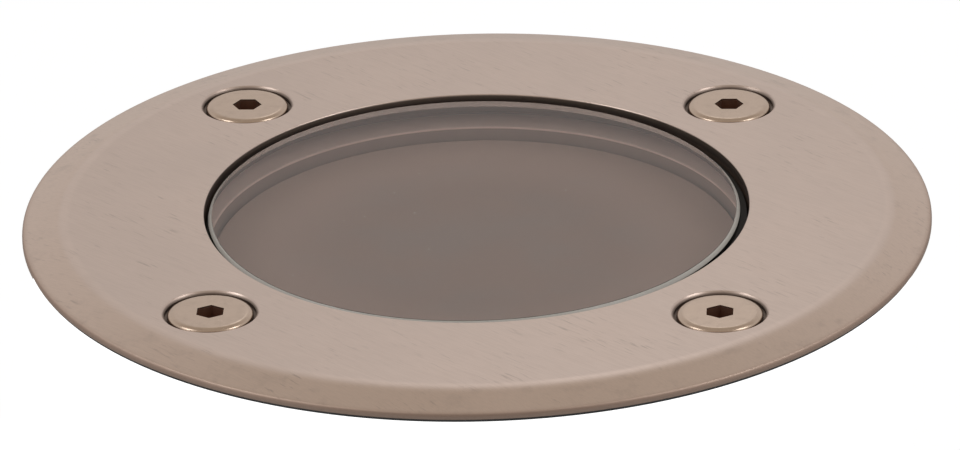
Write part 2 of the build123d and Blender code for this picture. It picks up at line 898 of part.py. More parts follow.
def make_gland_seal():
    """Rubber bush that grips the cable."""
    return gland_place * tube(gland_seal_radius, gland_seal_bore_radius, gland_seal_bottom, gland_seal_top)


def make_gland_nut():
    """Domed hexagonal cap nut that squeezes the seal."""
    nut = hex_bar(gland_nut_across_flats, gland_nut_bottom, gland_nut_top)
    corner_radius = gland_nut_across_flats / math.sqrt(3)
    dome = turned(
        (0, gland_nut_top + 1),
        (corner_radius, gland_nut_top + 1),
        (corner_radius, gland_nut_shelf),
        (corner_radius - gland_nut_round, gland_nut_bottom),
        (0, gland_nut_bottom),
    )
    nut &= dome
    nut -= disc(gland_thread_radius + turn_gap, gland_nut_shelf, gland_nut_top + 1)
    nut -= disc(gland_nut_exit_radius, gland_nut_bottom - 1, gland_nut_shelf + 1)
    return gland_place * nut


# ---- Sleeve ----------------------------------------------------------------


def cable_slot():
    """The cutter for one arched cable opening through the sleeve's wall."""
    half = cable_slot_width / 2
    arch_z = sleeve_floor + cable_slot_height - half
    reach = sleeve_radius + cutter_reach
    opening = Pos(0, reach / 2, 0) * block(cable_slot_width, reach, sleeve_floor, arch_z)
    opening += Pos(0, reach / 2, arch_z) * Rot(90, 0, 0) * Cylinder(half, reach)
    return opening


def make_sleeve():
    """Black moulded sleeve: flange, smooth band, ribbed wall, drained floor."""
    band_bottom = -sleeve_band_height
    shell = turned(
        (sleeve_radius, 0),
        (sleeve_lip_radius, 0),
        (sleeve_lip_radius, sleeve_lip_thickness),
        (sleeve_step_radius, sleeve_lip_thickness),
        (sleeve_step_radius, sleeve_step_height),
        (sleeve_bore, sleeve_step_height),
        (sleeve_bore, band_bottom),
        (sleeve_low_bore, band_bottom - sleeve_step_in),
        (sleeve_low_bore, sleeve_floor),
        (0, sleeve_floor),
        (0, sleeve_bottom),
        (sleeve_low_radius, sleeve_bottom),
        (sleeve_low_radius, band_bottom - sleeve_step_in),
        (sleeve_radius, band_bottom),
    )
    rib_radius = sleeve_radius - sleeve_rib_inset
    rib_root = sleeve_low_radius - sleeve_wall / 2
    rib = Pos((rib_root + rib_radius) / 2, 0, 0) * block(
        rib_radius - rib_root, sleeve_rib_width, sleeve_bottom, band_bottom - sleeve_step_in
    )
    turn_step = 360 / sleeve_rib_count
    shell += [Rot(0, 0, (i + 0.5) * turn_step) * rib for i in range(sleeve_rib_count)]
    for i in range(sleeve_hoop_count):
        low = band_bottom - (i + 1) * sleeve_hoop_pitch
        shell += tube(rib_radius, rib_root, low, low + sleeve_hoop_height)
    for turn in (0, 180):
        shell -= Rot(0, 0, turn) * cable_slot()
    shell -= disc(drain_hole_radius, sleeve_bottom - 1, sleeve_floor + 1)
    slot = SlotOverall(drain_slot_length, drain_slot_width)
    slot = Pos(drain_slot_circle, 0, sleeve_bottom - 1) * extrude(slot, sleeve_floor_thickness + 2)
    for i in range(drain_slot_count):
        shell -= Rot(0, 0, (i + 0.5) * 360 / drain_slot_count) * slot
    return shell


def make_drain_screen():
    """Perforated disc that keeps gravel out of the sleeve."""
    top = sleeve_floor + screen_thickness
    screen = disc(sleeve_low_bore - slide_gap, sleeve_floor, top)
    hole = disc(screen_hole_radius, sleeve_floor - 1, top + 1)
    outer_ring = screen_ring_pitch * (len(screen_ring_counts) - 1)
    return screen - [place * hole for place in ringed_places(screen_ring_counts, outer_ring)]


# ---- Build and write -------------------------------------------------------


def face_screws():
    """The face screws by number, anticlockwise from the back right one."""
    places = polar(screw_circle_radius, screw_count, screw_start_angle)
    screws = {}
    for number, place in enumerate(places, start=1):
        x, y = place.position.X, place.position.Y
        turn = back_socket_turn if y > 0 else front_socket_turn
        screws[f"face_screw_{number}"] = Pos(x, y, 0) * make_face_screw(turn)
    return screws


def all_nodes():
    """Every sub-part by its name."""
    nodes = {
        "face_ring": make_face_ring(),
        "screw_retainers": grouped(make_screw_retainers()),
        "lens": make_lens(),
        "lens_gasket": make_lens_gasket(),
        "housing_gasket": make_housing_gasket(),
        "spacer_ring": make_spacer_ring(),
        "diffuser": make_diffuser(),
        "housing": make_housing(),
        "threaded_inserts": grouped(make_threaded_inserts()),
        "retaining_springs": grouped(make_retaining_springs()),
        "spring_screws": grouped(make_spring_screws()),
        "reflector": make_reflector(),
        "led_board": make_led_board(),
        "led_chips": grouped(make_led_chips()),
        "thermal_pad": make_thermal_pad(),
        "heat_spreader": make_heat_spreader(),
        "module_screws": grouped(make_module_screws()),
        "driver_case": make_driver_case(),
        "driver_screws": grouped(make_driver_screws()),
        "terminal_block": make_terminal_block(),
        "terminal_screws": grouped(make_terminal_screws()),
        "led_lead_positive": make_led_lead(1),
        "led_lead_negative": make_led_lead(-1),
        "live_lead": make_mains_lead(0, live_entry_x),
        "neutral_lead": make_mains_lead(1, neutral_entry_x),
        "earth_lead": make_earth_lead(),
        "earth_tag": make_earth_tag(),
        "earth_screw": make_earth_screw(),
        "gland_body": make_gland_body(),
        "gland_washer": make_gland_washer(),
        "gland_locknut": make_gland_locknut(),
        "gland_seal": make_gland_seal(),
        "gland_nut": make_gland_nut(),
        "sleeve": make_sleeve(),
        "drain_screen": make_drain_screen(),
    }
    nodes.update(face_screws())
    return nodes


os.makedirs("parts", exist_ok=True)
for node_name, node in all_nodes().items():
    export_step(node, os.path.join("parts", node_name + ".step"))
    print(node_name, "volume", round(node.volume, 1))
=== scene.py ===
"""In ground well light: the looks, built round the packed parts."""

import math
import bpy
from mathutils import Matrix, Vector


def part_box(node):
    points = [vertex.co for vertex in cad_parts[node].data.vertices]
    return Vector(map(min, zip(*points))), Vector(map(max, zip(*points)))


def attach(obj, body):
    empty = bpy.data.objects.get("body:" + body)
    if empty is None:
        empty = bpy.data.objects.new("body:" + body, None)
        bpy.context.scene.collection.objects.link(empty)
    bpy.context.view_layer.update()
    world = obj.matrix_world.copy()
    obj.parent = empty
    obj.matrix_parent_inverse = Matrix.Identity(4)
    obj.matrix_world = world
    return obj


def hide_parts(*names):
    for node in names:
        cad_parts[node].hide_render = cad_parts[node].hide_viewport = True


bl_info = {
    "name": "In Ground Well Light",
    "version": (1, 0, 0),
    "blender": (4, 5, 0),
    "location": "3D View > Sidebar > Well Light",
    "description": "Builds the looks of an in ground well light round its packed parts",
    "category": "Object",
}

import bpy
from bpy.props import FloatProperty, FloatVectorProperty, IntProperty, PointerProperty
from mathutils import Matrix, Vector

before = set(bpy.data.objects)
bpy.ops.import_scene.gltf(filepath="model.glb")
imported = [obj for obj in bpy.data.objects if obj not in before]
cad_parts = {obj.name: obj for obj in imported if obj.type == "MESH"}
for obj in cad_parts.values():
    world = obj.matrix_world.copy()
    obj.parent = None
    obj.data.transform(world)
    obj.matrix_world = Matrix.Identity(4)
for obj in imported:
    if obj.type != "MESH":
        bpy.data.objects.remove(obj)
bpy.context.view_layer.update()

MM = 0.001
QUARTER = math.radians(90)
FULL_TURN = math.radians(360)
SMOOTH_ANGLE = math.radians(32)
FACE_SIDES = 256
ROUND_SIDES = 192
MIDDLE_SIDES = 96
SMALL_SIDES = 64


# ---- What the frame says ------------------------------------------------------


def low(node):
    """Lowest corner of a packed node."""
    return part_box(node)[0]


def high(node):
    """Highest corner of a packed node."""
    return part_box(node)[1]


def middle(node):
    """Centre of a packed node's box."""
    return (low(node) + high(node)) / 2


def levels(node):
    """Lowest and highest level of a packed node."""
    return low(node).z, high(node).z


SCREWS = [f"face_screw_{number}" for number in range(1, 5)]
AXIS_TO_SCREW = middle(SCREWS[0]).xy.length
SCREW_SIDE = AXIS_TO_SCREW * math.sqrt(0.5)


# ---- Sizes and colours a user would change ------------------------------------


def length(name, description, default):
    """A length property, given in millimetres."""
    default *= MM
    return FloatProperty(name=name, description=description, default=default, unit="LENGTH", precision=5)


def angle(name, description, degrees):
    """An angle property, given in degrees."""
    return FloatProperty(name=name, description=description, default=math.radians(degrees), subtype="ANGLE")


def number(name, description, default, **limits):
    """A property that is a plain number."""
    return FloatProperty(name=name, description=description, default=default, **limits)


def count(name, description, default, least):
    """A property that says how many there are."""
    return IntProperty(name=name, description=description, default=default, min=least)


def colour(name, description, default):
    """A linear colour property."""
    return FloatVectorProperty(
        name=name, description=description, default=default, subtype="COLOR", size=3, min=0, max=1
    )


class FaceSizes(bpy.types.PropertyGroup):
    """Sizes of the ring and its screws."""

    opening_radius: length("Opening radius", "Radius of the hole over the glass", 31.5)
    arris: length("Arris", "Small chamfer round the opening", 0.08)
    bevel_width: length("Bevel width", "Width of the sloping outer band", 4.5)
    bevel_drop: length("Bevel drop", "How far the sloping band falls", 1.15)
    crest_round: length("Crest round", "Radius between the flat and the sloping band", 8.0)
    edge_round: length("Edge round", "Radius of the ring's outer edge", 0.5)
    edge_height: length("Edge height", "Height of the ring above the sleeve's lip", 1.8)
    recess_radius: length("Recess radius", "Radius of the recess over the sleeve's step", 48.1)
    recess_height: length("Recess height", "Level of the recess's roof", 1.25)
    countersink_radius: length("Countersink radius", "Radius of a countersink at the face", 5.53)
    countersink_wall: length("Countersink wall", "Radius of its upright wall", 5.2)
    countersink_step: length("Countersink step", "Depth of its upright wall", 0.75)
    hole_radius: length("Hole radius", "Radius of a screw hole", 2.75)
    head_gap: length("Head gap", "Gap between countersink and cone", 0.07)
    head_radius: length("Head radius", "Radius of a screw's head", 4.88)
    head_round: length("Head round", "Height of the head's rounded edge", 0.52)
    head_round_width: length("Head round width", "Width of the head's rounded edge", 0.85)
    shank_radius: length("Shank radius", "Outer radius of a screw's thread", 2.5)
    thread_pitch: length("Thread pitch", "Rise of the thread in one turn", 0.8)
    thread_depth: length("Thread depth", "Depth of the thread", 0.46)
    socket_width: length("Socket width", "Width across flats of the hexagon socket", 3.0)
    socket_depth: length("Socket depth", "Depth of the hexagon socket", 2.3)


class LensSizes(bpy.types.PropertyGroup):
    """Sizes of the glass and what lies under it."""

    radius: length("Glass radius", "Radius of the glass inside the ring", 30.75)
    shoulder: length("Shoulder level", "Level of the step that the ring holds down", -2.0)
    arris: length("Glass arris", "Chamfer on the glass's edges", 0.4)
    air: length("Air gap", "Air between the glass and what holds it", 0.03)
    bore: length("Spacer bore", "Radius inside the spacer ring", 30.9)
    ledge: length("Spacer ledge", "Radius inside the diffuser's ledge", 28.5)
    diffuser_edge: length("Diffuser edge", "Chamfer on the diffuser's edges", 0.3)


class HousingSizes(bpy.types.PropertyGroup):
    """Sizes of the finned housing."""

    collar_bore: length("Collar bore", "Radius inside the collar", 36.0)
    collar_bottom: length("Collar bottom", "Level of the collar's underside", -17.0)
    ledge_level: length("Ledge level", "Level of the ledge that carries the spacer ring", -14.0)
    channel_outer: length("Channel outer radius", "Outer radius of the groove under the collar", 43.3)
    channel_inner: length("Channel inner radius", "Inner radius of the groove under the collar", 38.6)
    channel_roof: length("Channel roof", "Level of the groove's roof", -8.0)
    boss_radius: length("Boss radius", "Radius of the screw bosses", 5.0)
    insert_radius: length("Insert radius", "Radius of the threaded inserts", 3.25)
    insert_depth: length("Insert hole depth", "Depth of the holes for the inserts", 11.5)
    upper_radius: length("Upper can radius", "Outer radius of the can's upper part", 34.0)
    lower_radius: length("Lower can radius", "Outer radius of the can's lower part", 31.0)
    wall: length("Wall", "Thickness of the can's wall", 3.0)
    step_level: length("Step level", "Level where the can narrows", -34.0)
    seat_level: length("Seat level", "Level of the heat spreader's seat", -32.0)
    floor_level: length("Floor level", "Level of the can's floor", -80.0)
    fin_count: count("Fins", "Number of cooling fins", 24, 3)
    fin_radius: length("Fin radius", "Radius over the fins", 41.0)
    fin_root: length("Fin root", "Thickness of a fin at its root", 2.0)
    fin_tip: length("Fin tip", "Thickness of a fin at its edge", 1.3)
    pad_width: length("Pad width", "Width of the spring pads", 12.0)
    pad_height: length("Pad height", "Height of the spring pads", 26.0)
    pad_top: length("Pad top", "Level of the spring pads' upper end", -22.0)
    pad_turn: angle("Pad turn", "Where the first pad is", 7.5)
    gland_hole: length("Gland hole radius", "Radius of the hole for the gland", 8.1)


class SleeveSizes(bpy.types.PropertyGroup):
    """Sizes of the buried sleeve."""

    lip_height: length("Lip height", "Thickness of the flange's lip", 0.5)
    step_radius: length("Step radius", "Radius of the step inside the ring", 47.8)
    band_radius: length("Band radius", "Radius of the smooth band", 48.8)
    band_height: length("Band height", "Height of the smooth band", 24.0)
    step_in: length("Step in", "How far the ribbed wall stands in from the band", 1.9)
    wall: length("Wall", "Thickness of the sleeve's wall", 2.2)
    floor: length("Floor", "Thickness of the sleeve's floor", 2.5)
    rib_count: count("Ribs", "Number of upright ribs", 12, 3)
    rib_width: length("Rib width", "Thickness of a rib", 2.0)
    rib_inset: length("Rib inset", "How far the ribs stand in from the band", 0.4)
    hoop_count: count("Hoops", "Number of hoops round the wall", 3, 0)
    hoop_pitch: length("Hoop pitch", "Distance from hoop to hoop", 26.0)
    hoop_height: length("Hoop height", "Height of a hoop", 2.0)
    slot_width: length("Cable slot width", "Width of the arched cable openings", 20.0)
    slot_height: length("Cable slot height", "Height of the arched cable openings", 24.0)
    drain_radius: length("Drain radius", "Radius of the drain hole in the middle", 8.0)
    drain_count: count("Drain slots", "Number of drain slots", 8, 1)
    drain_circle: length("Drain circle", "Radius to the middle of the drain slots", 26.0)
    drain_length: length("Drain slot length", "Length of a drain slot", 18.0)
    drain_width: length("Drain slot width", "Width of a drain slot", 4.0)


class Finishes(bpy.types.PropertyGroup):
    """Colours of the finishes."""

    ring: colour("Ring", "Brushed stainless steel of the ring", (0.644, 0.532, 0.474))
    screw: colour("Screws", "Bright steel of the screws", (0.61, 0.485, 0.395))
    glass: colour("Glass", "Tint of the lens", (0.98, 0.97, 0.95))
    opal: colour("Diffuser", "Frosted disc under the lens", (0.345, 0.25, 0.222))
    spacer: colour("Spacer", "Turned aluminium", (0.46, 0.345, 0.315))
    rubber: colour("Rubber", "Gaskets and seals", (0.009, 0.007, 0.0055))
    coat: colour("Housing coat", "Powder coat of the housing", (0.030, 0.030, 0.033))
    plastic: colour("Sleeve plastic", "Moulded black plastic of the sleeve", (0.022, 0.022, 0.023))


class StageSettings(bpy.types.PropertyGroup):
    """Camera, light and ground."""

    azimuth: angle("Azimuth", "Camera's turn round the light", 3.25)
    elevation: angle("Elevation", "Camera's height over the horizon", 24.648)
    roll: angle("Roll", "Camera's roll", -1.397)
    distance: length("Distance", "From the camera to the middle of the face", 921.4)
    focal_pixels: number("Focal length in pixels", "At the photograph's width", 7981.0)
    picture_width: number("Picture width", "Width of the photograph in pixels", 960.0)
    picture_height: number("Picture height", "Height of the photograph in pixels", 450.0)
    face_column: number("Face column", "Pixel column of the middle of the face", 476.97)
    face_row: number("Face row", "Pixel row of the middle of the face", 204.80)
    lamp_power: number("Lamp power", "Power of each soft lamp", 0.42, subtype="POWER")
    daylight: number("Daylight", "Strength of the soft light from all round", 0.695)
    low_studio: colour("Low studio", "What metal and glass mirror low down", (0.66, 0.627, 0.60))
    high_studio: colour("High studio", "What metal and glass mirror overhead", (0.465, 0.415, 0.36))
    dark_studio: colour("Dark studio", "What metal mirrors behind the camera", (0.25, 0.20, 0.165))
    card_width: length("Card width", "Width of the card that stands for the ground", 100.0)
    card_front: length("Card front", "Front edge of the card, as it looks at ground level", -64.0)
    card_back: length("Card back", "Back edge of the card, as it looks at ground level", -8.0)
    card_level: length("Card level", "Level of the card before it is drawn towards the camera", 0.12)
    card_share: number("Card share", "The card's distance, as a share of the face's", 0.45, min=0.1, max=1.0)


GROUPS = {
    "well_light_face": FaceSizes,
    "well_light_lens": LensSizes,
    "well_light_housing": HousingSizes,
    "well_light_sleeve": SleeveSizes,
    "well_light_finishes": Finishes,
    "well_light_stage": StageSettings,
}


def settings(name):
    """One of this add-on's groups of settings."""
    return getattr(bpy.context.scene, "well_light_" + name)


# ---- Modelling ----------------------------------------------------------------


def clear_selection():
    """Nothing selected, nothing in edit mode."""
    if bpy.context.object and bpy.context.object.mode != "OBJECT":
        bpy.ops.object.mode_set(mode="OBJECT")
    bpy.ops.object.select_all(action="DESELECT")


def pick(*pieces):
    """Selects these pieces alone, the first one active."""
    clear_selection()
    for piece in pieces:
        piece.select_set(True)
    bpy.context.view_layer.objects.active = pieces[0]
    return pieces[0]


def added(name, scale=(1, 1, 1)):
    """The primitive that was just added, named, with its place and scale in its mesh."""
    piece = bpy.context.object
    piece.name = name
    piece.scale = scale
    bpy.ops.object.transform_apply(location=True, rotation=True, scale=True)
    return piece


def edit():
    """Enters edit mode with the whole mesh selected."""
    bpy.ops.object.mode_set(mode="EDIT")
    bpy.ops.mesh.select_all(action="SELECT")


def face_outwards():
    """Turns the edited mesh's faces outwards and leaves edit mode."""
    bpy.ops.mesh.select_all(action="SELECT")
    bpy.ops.mesh.normals_make_consistent(inside=False)
    bpy.ops.object.mode_set(mode="OBJECT")


def modify(piece, kind, **values):
    """Gives a picked piece a modifier with these values and applies it."""
    modifier = piece.modifiers.new(kind.lower(), kind)
    for name, value in values.items():
        setattr(modifier, name, value)
    bpy.ops.object.modifier_apply(modifier=modifier.name)


def lathe(name, outline, sides=ROUND_SIDES, capped=False):
    """A turned piece: a circle extruded and scaled along an outline of (radius, level).

    Capped outlines end in flat discs, and the others close on themselves.
    """
    clear_selection()
    radius, level = outline[0]
    bpy.ops.mesh.primitive_circle_add(vertices=sides, radius=radius, location=(0, 0, level))
    piece = added(name)
    edit()
    for (last_radius, last_level), (radius, level) in zip(outline, outline[1:]):
        rise = (0, 0, level - last_level)
        bpy.ops.mesh.extrude_edges_move(TRANSFORM_OT_translate={"value": rise})
        growth = radius / last_radius
        bpy.ops.transform.resize(value=(growth, growth, 1), center_override=(0, 0, level))
    bpy.ops.mesh.select_all(action="DESELECT")
    bpy.ops.mesh.select_non_manifold()
    if capped:
        bpy.ops.mesh.fill_holes(sides=0)
    else:
        bpy.ops.mesh.bridge_edge_loops()
    face_outwards()
    return piece


def bar(name, sides, radius, bottom, top, turn=0.0):
    """An upright prism on the axis with flat sides, a corner at the turn angle."""
    clear_selection()
    bpy.ops.mesh.primitive_cylinder_add(
        vertices=sides,
        radius=radius,
        depth=top - bottom,
        location=(0, 0, (top + bottom) / 2),
        rotation=(0, 0, turn - QUARTER),
    )
    return added(name)


def slab(name, lowest, highest):
    """A box between two corners."""
    clear_selection()
    lowest, highest = Vector(lowest), Vector(highest)
    bpy.ops.mesh.primitive_cube_add(size=1, location=(lowest + highest) / 2)
    return added(name, highest - lowest)


def arc(centre_radius, centre_level, radius, start, end, steps):
    """Outline points on an arc, from one angle in degrees to another."""
    points = []
    for i in range(steps + 1):
        turn = math.radians(start + (end - start) * i / steps)
        points.append((centre_radius + radius * math.cos(turn), centre_level + radius * math.sin(turn)))
    return points


def stepped(radius, level, *turns):
    """Outline points where upright and level runs take turns, the first run upright."""
    points = [(radius, level)]
    for i, value in enumerate(turns):
        if i % 2:
            radius = value
        else:
            level = value
        points.append((radius, level))
    return points


def moved(piece, matrix):
    """Moves a piece's mesh."""
    piece.data.transform(matrix)
    return piece


def shifted(piece, x, y=0.0, z=0.0):
    """Moves a piece's mesh straight along."""
    return moved(piece, Matrix.Translation((x, y, z)))


def copy_of(piece):
    """A copy of a piece with its own mesh."""
    copy = piece.copy()
    copy.data = piece.data.copy()
    bpy.context.scene.collection.objects.link(copy)
    return copy


def ring_of(piece, copies, start=0.0):
    """Copies round the upright axis, the piece itself the first of them."""
    pieces = [piece] + [copy_of(piece) for _ in range(copies - 1)]
    for i, each in enumerate(pieces):
        moved(each, Matrix.Rotation(start + FULL_TURN * i / copies, 4, "Z"))
    return pieces


def at_screws(piece):
    """A piece on the axis, moved and copied to the places of the four screws."""
    return ring_of(shifted(piece, AXIS_TO_SCREW), len(SCREWS), QUARTER / 2)


def joined(name, pieces):
    """Several meshes as one piece, without merging them."""
    piece = pick(*pieces)
    if len(pieces) > 1:
        bpy.ops.object.join()
    piece.name = name
    return piece


def combine(piece, other, operation):
    """Adds or cuts another mesh with a Boolean modifier, and deletes it."""
    pick(piece)
    modify(piece, "BOOLEAN", operation=operation, solver="EXACT", object=other)
    bpy.data.objects.remove(other)
    if not piece.data.polygons:
        raise RuntimeError(f"{piece.name} lost its faces")
    return piece


def cut(piece, *cutters):
    """Cuts shapes that stand clear of each other out of a piece."""
    return combine(piece, joined("cutter", cutters), "DIFFERENCE")


def weld(piece, *others):
    """Adds shapes to a piece, one after another."""
    for other in others:
        combine(piece, other, "UNION")
    return piece


def soften(piece, width, segments=2, least_angle=30):
    """Rounds the edges where a piece turns by more than an angle in degrees."""
    pick(piece)
    edit()
    bpy.ops.mesh.remove_doubles(threshold=0.001 * MM)
    bpy.ops.object.mode_set(mode="OBJECT")
    limit = math.radians(least_angle)
    modify(piece, "BEVEL", width=width, segments=segments, limit_method="ANGLE", angle_limit=limit)
    return piece


def finish(piece, name, body, material, node):
    """Names and shades a piece, and ties it to the frame."""
    pick(piece)
    bpy.ops.object.shade_smooth_by_angle(angle=SMOOTH_ANGLE)
    modify(piece, "WEIGHTED_NORMAL", weight=100, keep_sharp=True)
    piece.name = name
    piece.data.name = name
    piece.data.materials.clear()
    piece.data.materials.append(material)
    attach(piece, body)
    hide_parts(node)
    return piece


# ---- Shader maths -------------------------------------------------------------


class Wire:
    """A node's output that takes arithmetic: each operator adds a Math node."""

    def __init__(self, tree, socket):
        self.tree = tree
        self.socket = socket

    def math(self, operation, first, second=0.0):
        return self.tree.node("ShaderNodeMath", {"operation": operation}, {0: first, 1: second})

    def __add__(self, other):
        return self.math("ADD", self, other)

    __radd__ = __add__

    def __sub__(self, other):
        return self.math("SUBTRACT", self, other)

    def __rsub__(self, other):
        return self.math("SUBTRACT", other, self)

    def __mul__(self, other):
        return self.math("MULTIPLY", self, other)

    __rmul__ = __mul__

    def __truediv__(self, other):
        return self.math("DIVIDE", self, other)

    def __rtruediv__(self, other):
        return self.math("DIVIDE", other, self)

    def __pow__(self, other):
        return self.math("POWER", self, other)

    def __rpow__(self, other):
        return self.math("POWER", other, self)

    def __abs__(self):
        return self.math("ABSOLUTE", self)

    def sine(self):
        """The sine of an angle in radians."""
        return self.math("SINE", self)

    def larger(self, other):
        """The larger of two values."""
        return self.math("MAXIMUM", self, other)

    def between(self, start, end):
        """0 below start, 1 above end, and a soft rise between them."""
        values = {"Value": self, "From Min": start, "From Max": end, "To Min": 0.0, "To Max": 1.0}
        return self.tree.node("ShaderNodeMapRange", {"interpolation_type": "SMOOTHSTEP"}, values)

    def beside(self, output):
        """Another output of the same node."""
        return Wire(self.tree, self.socket.node.outputs[output])


class Tree:
    """A node tree that is written as expressions."""

    def __init__(self, node_tree):
        self.nodes = node_tree.nodes
        self.links = node_tree.links

    def node(self, kind, how=None, values=None, output=0):
        """Makes any node: its settings first, then the values or links of its inputs."""
        made = self.nodes.new(kind)
        for name, value in (how or {}).items():
            setattr(made, name, value)
        for name, value in (values or {}).items():
            self.plug(made.inputs[name], value)
        return Wire(self, made.outputs[output])

    def plug(self, socket, value):
        """Links or sets one input."""
        if isinstance(value, Wire):
            self.links.new(value.socket, socket)
        elif hasattr(value, "__len__") and len(value) == 3 and socket.type == "RGBA":
            socket.default_value = (*value, 1)
        else:
            socket.default_value = value

    def mix(self, share, first, second):
        """A colour between two colours."""
        values = {"Factor": share, 6: first, 7: second}
        return self.node("ShaderNodeMix", {"data_type": "RGBA"}, values, output=2)


class Finish(Tree):
    """A procedural material on a piece's own Object coordinates. Its patterns are sized in millimetres."""

    def __init__(self, name, **sockets):
        self.material = bpy.data.materials.new(name)
        self.material.use_nodes = True
        super().__init__(self.material.node_tree)
        self.shader = self.nodes["Principled BSDF"]
        self.place = self.node("ShaderNodeTexCoord", output="Object")
        for socket, value in sockets.items():
            self.set(socket.replace("_", " "), value)

    def set(self, socket, value):
        """Links or sets one of the shader's sockets."""
        self.plug(self.shader.inputs[socket], value)

    def surface(self, tone, roughness, height=None, depth=0.0, strength=1.0):
        """Sets the colour and roughness, and raises the surface by a height from 0 to 1 over a depth."""
        self.set("Base Color", tone)
        self.set("Roughness", roughness)
        if height:
            values = {"Height": height, "Distance": depth * MM, "Strength": strength}
            self.set("Normal", self.node("ShaderNodeBump", None, values))
        return self

    def blend(self, share, other):
        """Mixes another shader over this one."""
        surface = next(node for node in self.nodes if node.type == "OUTPUT_MATERIAL").inputs["Surface"]
        first = Wire(self, surface.links[0].from_socket)
        self.plug(surface, self.node("ShaderNodeMixShader", None, {0: share, 1: first, 2: other}))

    def cover(self, share, tone, roughness):
        """Mixes an opaque surface over this one."""
        values = {"Base Color": tone, "Roughness": roughness}
        self.blend(share, self.node("ShaderNodeBsdfPrincipled", None, values))

    def along(self):
        """The object's x, y and z as three values."""
        x = self.node("ShaderNodeSeparateXYZ", None, {0: self.place})
        return x, x.beside("Y"), x.beside("Z")

    def from_axis(self, offset=0.0):
        """Distance from the upright axis, or from the nearest of four that stand off it both ways."""
        x, y = self.along()[:2]
        if offset:
            x, y = abs(x) - offset, abs(y) - offset
        return (x * x + y * y) ** 0.5

    def stretched(self, scale, turn=0.0):
        """The object's place turned about the upright axis and scaled."""
        turned = self.node("ShaderNodeMapping", None, {"Vector": self.place, "Rotation": (0, 0, turn)})
        return self.node("ShaderNodeMapping", None, {"Vector": turned, "Scale": scale})

    def noise(self, size, detail=2.0, roughness=0.5, place=None):
        """Smooth noise from 0 to 1 whose blots have about this size."""
        values = {"Vector": place or self.place, "Scale": 1 / (size * MM)}
        values.update({"Detail": detail, "Roughness": roughness})
        return self.node("ShaderNodeTexNoise", None, values)

    def cells(self, size, feature, output):
        """A pattern of cells of about this size."""
        values = {"Vector": self.place, "Scale": 1 / (size * MM)}
        return self.node("ShaderNodeTexVoronoi", {"feature": feature}, values, output)


def shade(tone, *shares):
    """A colour made darker or paler, by one share or by one for each channel."""
    shares = shares * 3 if len(shares) == 1 else shares
    return [min(channel * share, 1) for channel, share in zip(tone, shares)]


def shared(make):
    """Makes each material once."""
    made = {}

    def get(*name):
        if name not in made:
            made[name] = make(*name).material
        return made[name]

    return get


# ---- Materials ----------------------------------------------------------------


@shared
def brushed_ring():
    """Stainless steel brushed straight across, with finer and sparser darker streaks."""
    steel = Finish("Brushed ring", Metallic=1.0)
    sizes = settings("face")
    tone = settings("finishes").ring
    dark = shade(tone, 0.66)
    rim, top = high("face_ring").x, high("face_ring").z
    slope_start = rim - sizes.bevel_width
    z = steel.along()[2]
    radius = steel.from_axis()

    grain_turn = math.radians(40)
    streak_turn = math.radians(45)
    grain = steel.noise(0.16, 3, 0.6, steel.stretched((0.05, 1, 1), grain_turn))
    streak = steel.noise(0.30, 2, 0.5, steel.stretched((0.10, 1, 1), streak_turn)).between(0.58, 0.72)
    patch = steel.noise(6, 3, 0.6).between(0.42, 0.72)
    cloud = steel.noise(13, 4, 0.55).between(0.3, 0.8)
    mark = steel.noise(2.6, 4, 0.6).between(0.52, 0.78)
    on_slope = radius.between(slope_start - 0.2 * MM, slope_start + 0.6 * MM)
    # Paler crest round the flat: partly real wear, partly a painted highlight.
    worn = (1 - steel.noise(3, 2, 0.5) * 0.8) * (1 - on_slope)
    worn = worn * radius.between(slope_start - 1.2 * MM, slope_start - 0.5 * MM)
    # Painted shade: the lower part of the rounded outer edge is made darker, browner and rougher.
    painted_edge_shade = 1 - z.between(top - 1.30 * MM, top - 0.95 * MM)

    base = steel.mix(cloud, tone, shade(tone, 1.06))
    # Painted light: the sloping band is made a little paler and warmer than the flat.
    base = steel.mix(on_slope, base, shade(tone, 1.06, 1.04, 1.01))
    base = steel.mix(streak * patch * 0.75, base, dark)
    base = steel.mix(grain.between(0.35, 0.75) * 0.16, base, dark)
    base = steel.mix(mark * on_slope * 0.32, base, dark)
    # Painted highlight and wear on the crest.
    base = steel.mix(worn * 0.35, base, shade(tone, 1.3))
    base = steel.mix(painted_edge_shade * 0.8, base, shade(tone, 0.62, 0.56, 0.52))

    # Painted shade: the upright walls of the countersinks and the opening's inner edge are darkened and made
    # rougher.
    recess_shade_tone = (0.06, 0.04, 0.03)
    arris = sizes.opening_radius + sizes.arris
    beside_screw = steel.from_axis(SCREW_SIDE)
    sunk = 1 - beside_screw.between(sizes.countersink_wall, sizes.countersink_radius + 0.05 * MM)
    opening = 1 - radius.between(arris, arris + 0.05 * MM)
    below = 1 - z.between(top - 0.24 * MM, top - 0.02 * MM)
    painted_recess_shade = (sunk * 0.75).larger(opening * 0.72) * below
    roughness = 0.26 + 0.10 * grain + 0.05 * cloud + 0.2 * painted_recess_shade + 0.28 * painted_edge_shade
    return steel.surface(steel.mix(painted_recess_shade, base, recess_shade_tone), roughness, grain + 0.5 * streak, 0.006, 0.6)


